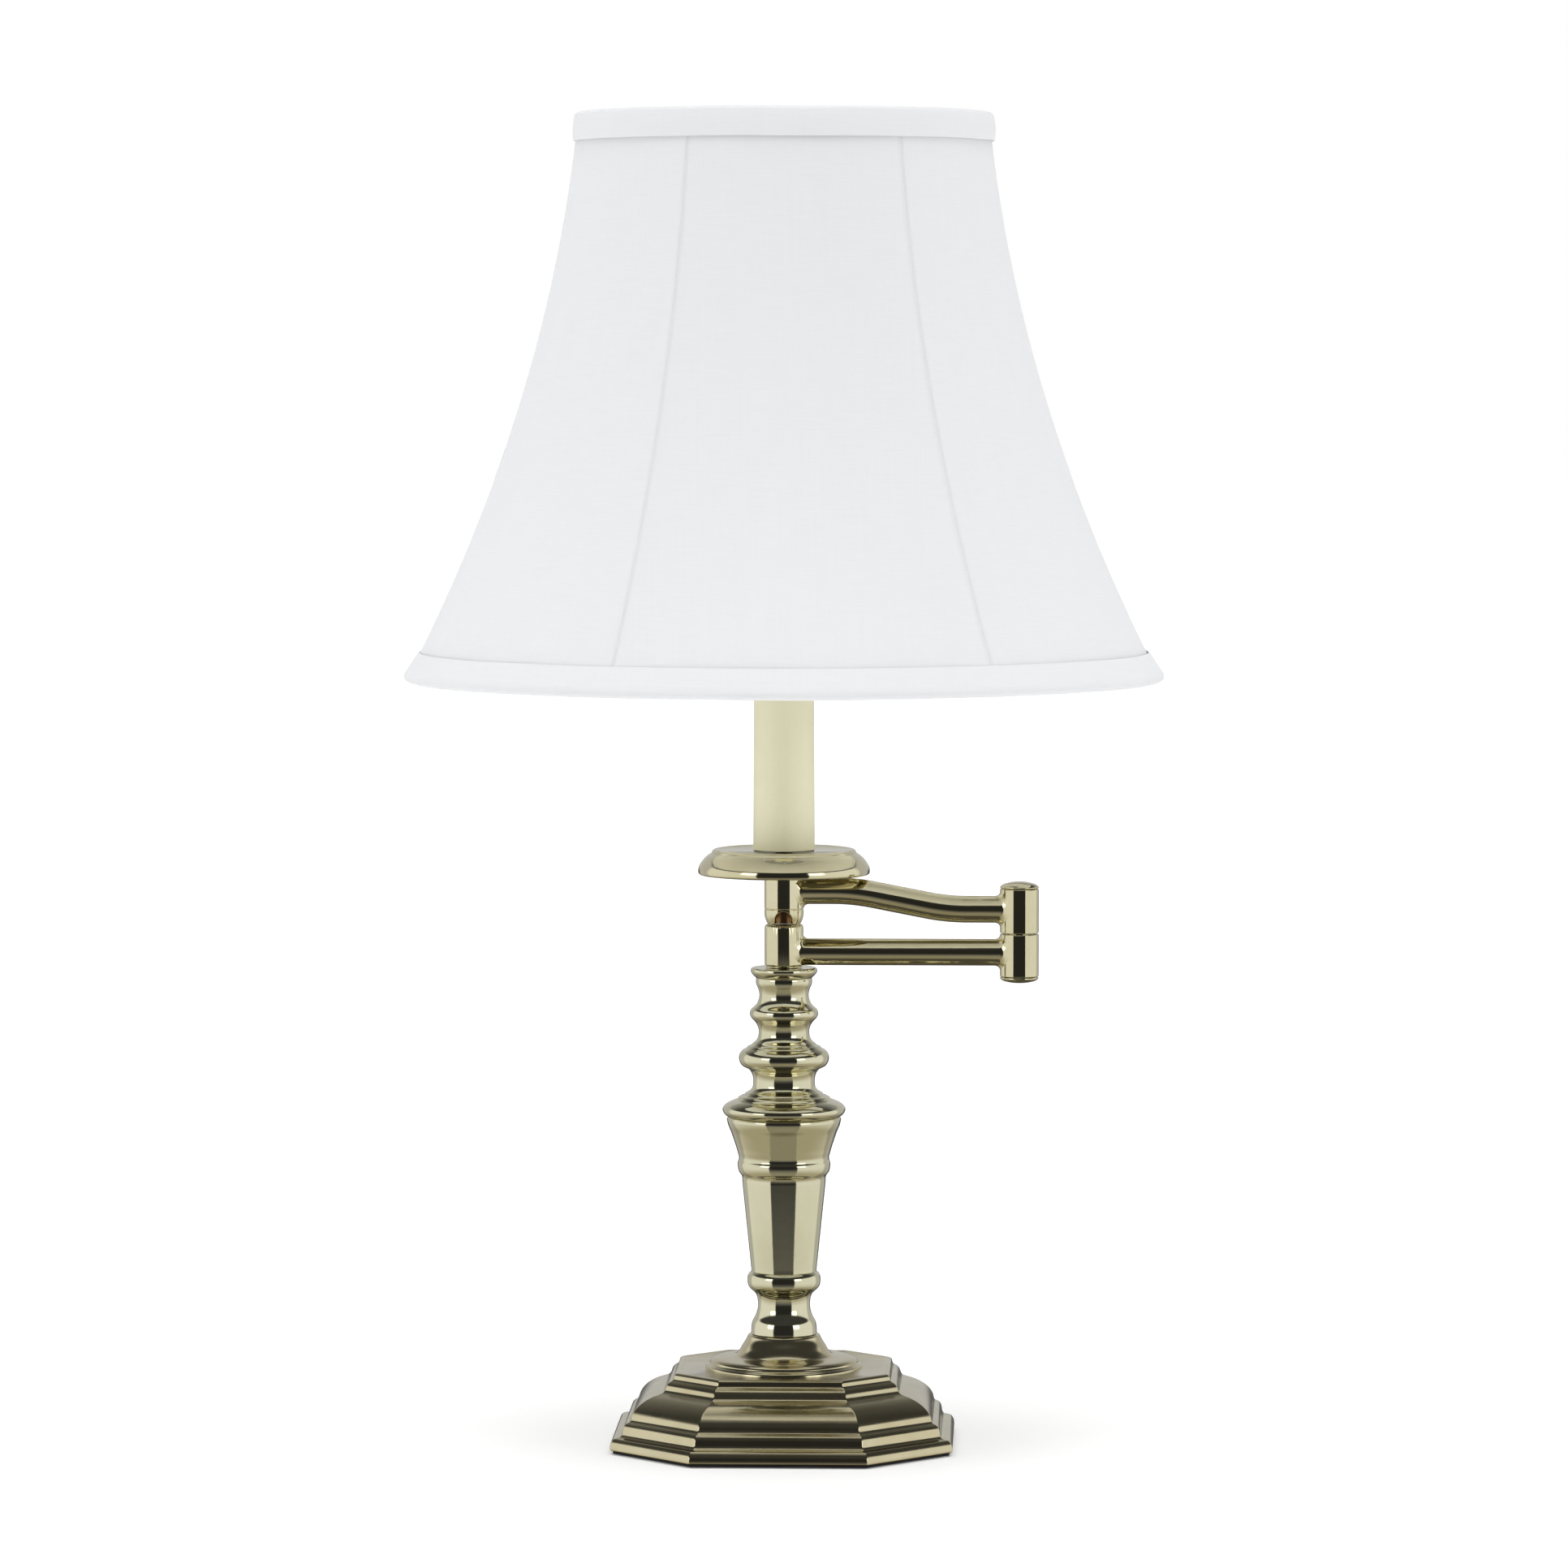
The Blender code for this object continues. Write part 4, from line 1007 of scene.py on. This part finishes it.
def build_world():
    """Tall soft boxes on both sides and a pale wall behind, in a room that is dark overhead and where the
    camera stands."""
    world = bpy.data.worlds.new("studio")
    bpy.context.scene.world = world
    world.use_nodes = True
    tree = world.node_tree
    tree.nodes.clear()
    way = node_of(tree, "ShaderNodeTexCoord").outputs["Generated"]
    parts = node_of(tree, "ShaderNodeSeparateXYZ", {"Vector": way})
    x, y, z = (parts.outputs[key] for key in "XYZ")
    azimuth = worked(tree, "ARCTAN2", x, worked(tree, "MULTIPLY", y, -1.0))
    away = worked(tree, "ABSOLUTE", azimuth)  # the angle from the camera's side, 0 to pi

    def eased(value, low, high, first=0.0, last=1.0):
        return ranged(tree, value, low, high, first, last, "SMOOTHSTEP")

    def product(first, second):
        return worked(tree, "MULTIPLY", first, second)

    lamp = product(eased(away, 1.10, 0.95), eased(z, 0.08, 0.18))  # the bright part of each soft box
    box = product(eased(z, -0.62, -0.15, 0.48, 0.92), eased(lamp, 0.0, 1.0, 1.0, 2.5))
    dark_room = eased(z, -0.12, -0.60, 0.025, 0.33)  # behind the camera, brighter near the floor
    rear = eased(z, -0.06, 0.04, 0.12, 0.56)  # the wall, dimmer under the horizon
    # Round the horizon: the dark room, the soft boxes, their dimmer rear parts, and the wall.
    light = eased(away, 0.61, 0.65, dark_room, box)
    light = eased(away, 2.05, 2.25, light, product(box, 0.6))
    light = eased(away, 2.60, 2.80, light, rear)
    # Then the floor under the lamp, the dark above the soft boxes, and the zenith.
    light = eased(z, -0.72, -0.88, light, 0.09)
    high = eased(away, 1.9, 2.6, 0.05, eased(z, 0.45, 0.75, 0.34, 0.08))
    light = eased(z, 0.37, 0.48, light, high)
    light = eased(z, 0.80, 1.00, light, 0.30)
    tint = blended(tree, eased(z, -0.15, -0.65), (1.0, 1.0, 1.0, 1), (1.0, 0.92, 0.72, 1))
    seen = node_of(tree, "ShaderNodeLightPath").outputs["Is Camera Ray"]
    studio = node_of(tree, "ShaderNodeBackground", {"Color": tint, "Strength": light})
    white = node_of(tree, "ShaderNodeBackground", {"Color": (1.0, 1.0, 1.0, 1), "Strength": 1.0})
    mixed = node_of(tree, "ShaderNodeMixShader", {0: seen, 1: studio.outputs[0], 2: white.outputs[0]})
    tree.links.new(mixed.outputs[0], node_of(tree, "ShaderNodeOutputWorld").inputs["Surface"])


def build_floor():
    """A white floor that the metal doesn't mirror."""
    shape = bmesh.new()
    bmesh.ops.create_circle(shape, cap_ends=True, segments=96, radius=25.0)
    floor = piece_of("floor", shape, "floor")
    floor.visible_glossy = False
    floor.location.z = -0.0004  # clear of the felt's underside


def build_lights():
    """Soft lights that only the fabric, the plastic and the floor answer to."""
    lights = bpy.data.collections.new("lights")
    bpy.context.scene.collection.children.link(lights)

    def light(name, kind, place, power):
        data = bpy.data.lights.new(name, kind)
        data.energy = power
        made = bpy.data.objects.new(name, data)
        made.location = place
        made.rotation_euler = aimed(place, (0, 0, 0.45))
        made.visible_glossy = False
        lights.objects.link(made)
        return data

    light("overhead", "SUN", (0.0, -0.6, 4.0), 2.90).angle = math.radians(80)
    for name, x, power in (("fill_left", -4.2, 20.0), ("fill_right", 4.2, 18.0)):
        data = light(name, "AREA", (x, -1.5, 1.4), power)
        data.shape = "DISK"
        data.size = 2.4


def aimed(place, target):
    """The rotation that points a camera or a light from a place at a target."""
    return (Vector(target) - Vector(place)).to_track_quat("-Z", "Y").to_euler()


def build_camera():
    """A long lens level with the middle of the shade, aimed a little down."""
    azimuth = math.radians(2.0)
    distance, height, aim = 3.739, 0.5954, 0.3544
    camera = placed("camera", bpy.data.cameras.new("camera"))
    camera.location = (math.sin(azimuth) * distance, -math.cos(azimuth) * distance, height)
    camera.rotation_euler = aimed(camera.location, (0, 0, aim))
    camera.data.lens = 160.79
    camera.data.clip_end = 200.0
    bpy.context.scene.camera = camera


build()
build_world()
build_floor()
build_lights()
build_camera()
bpy.context.scene.view_settings.view_transform = "Standard"
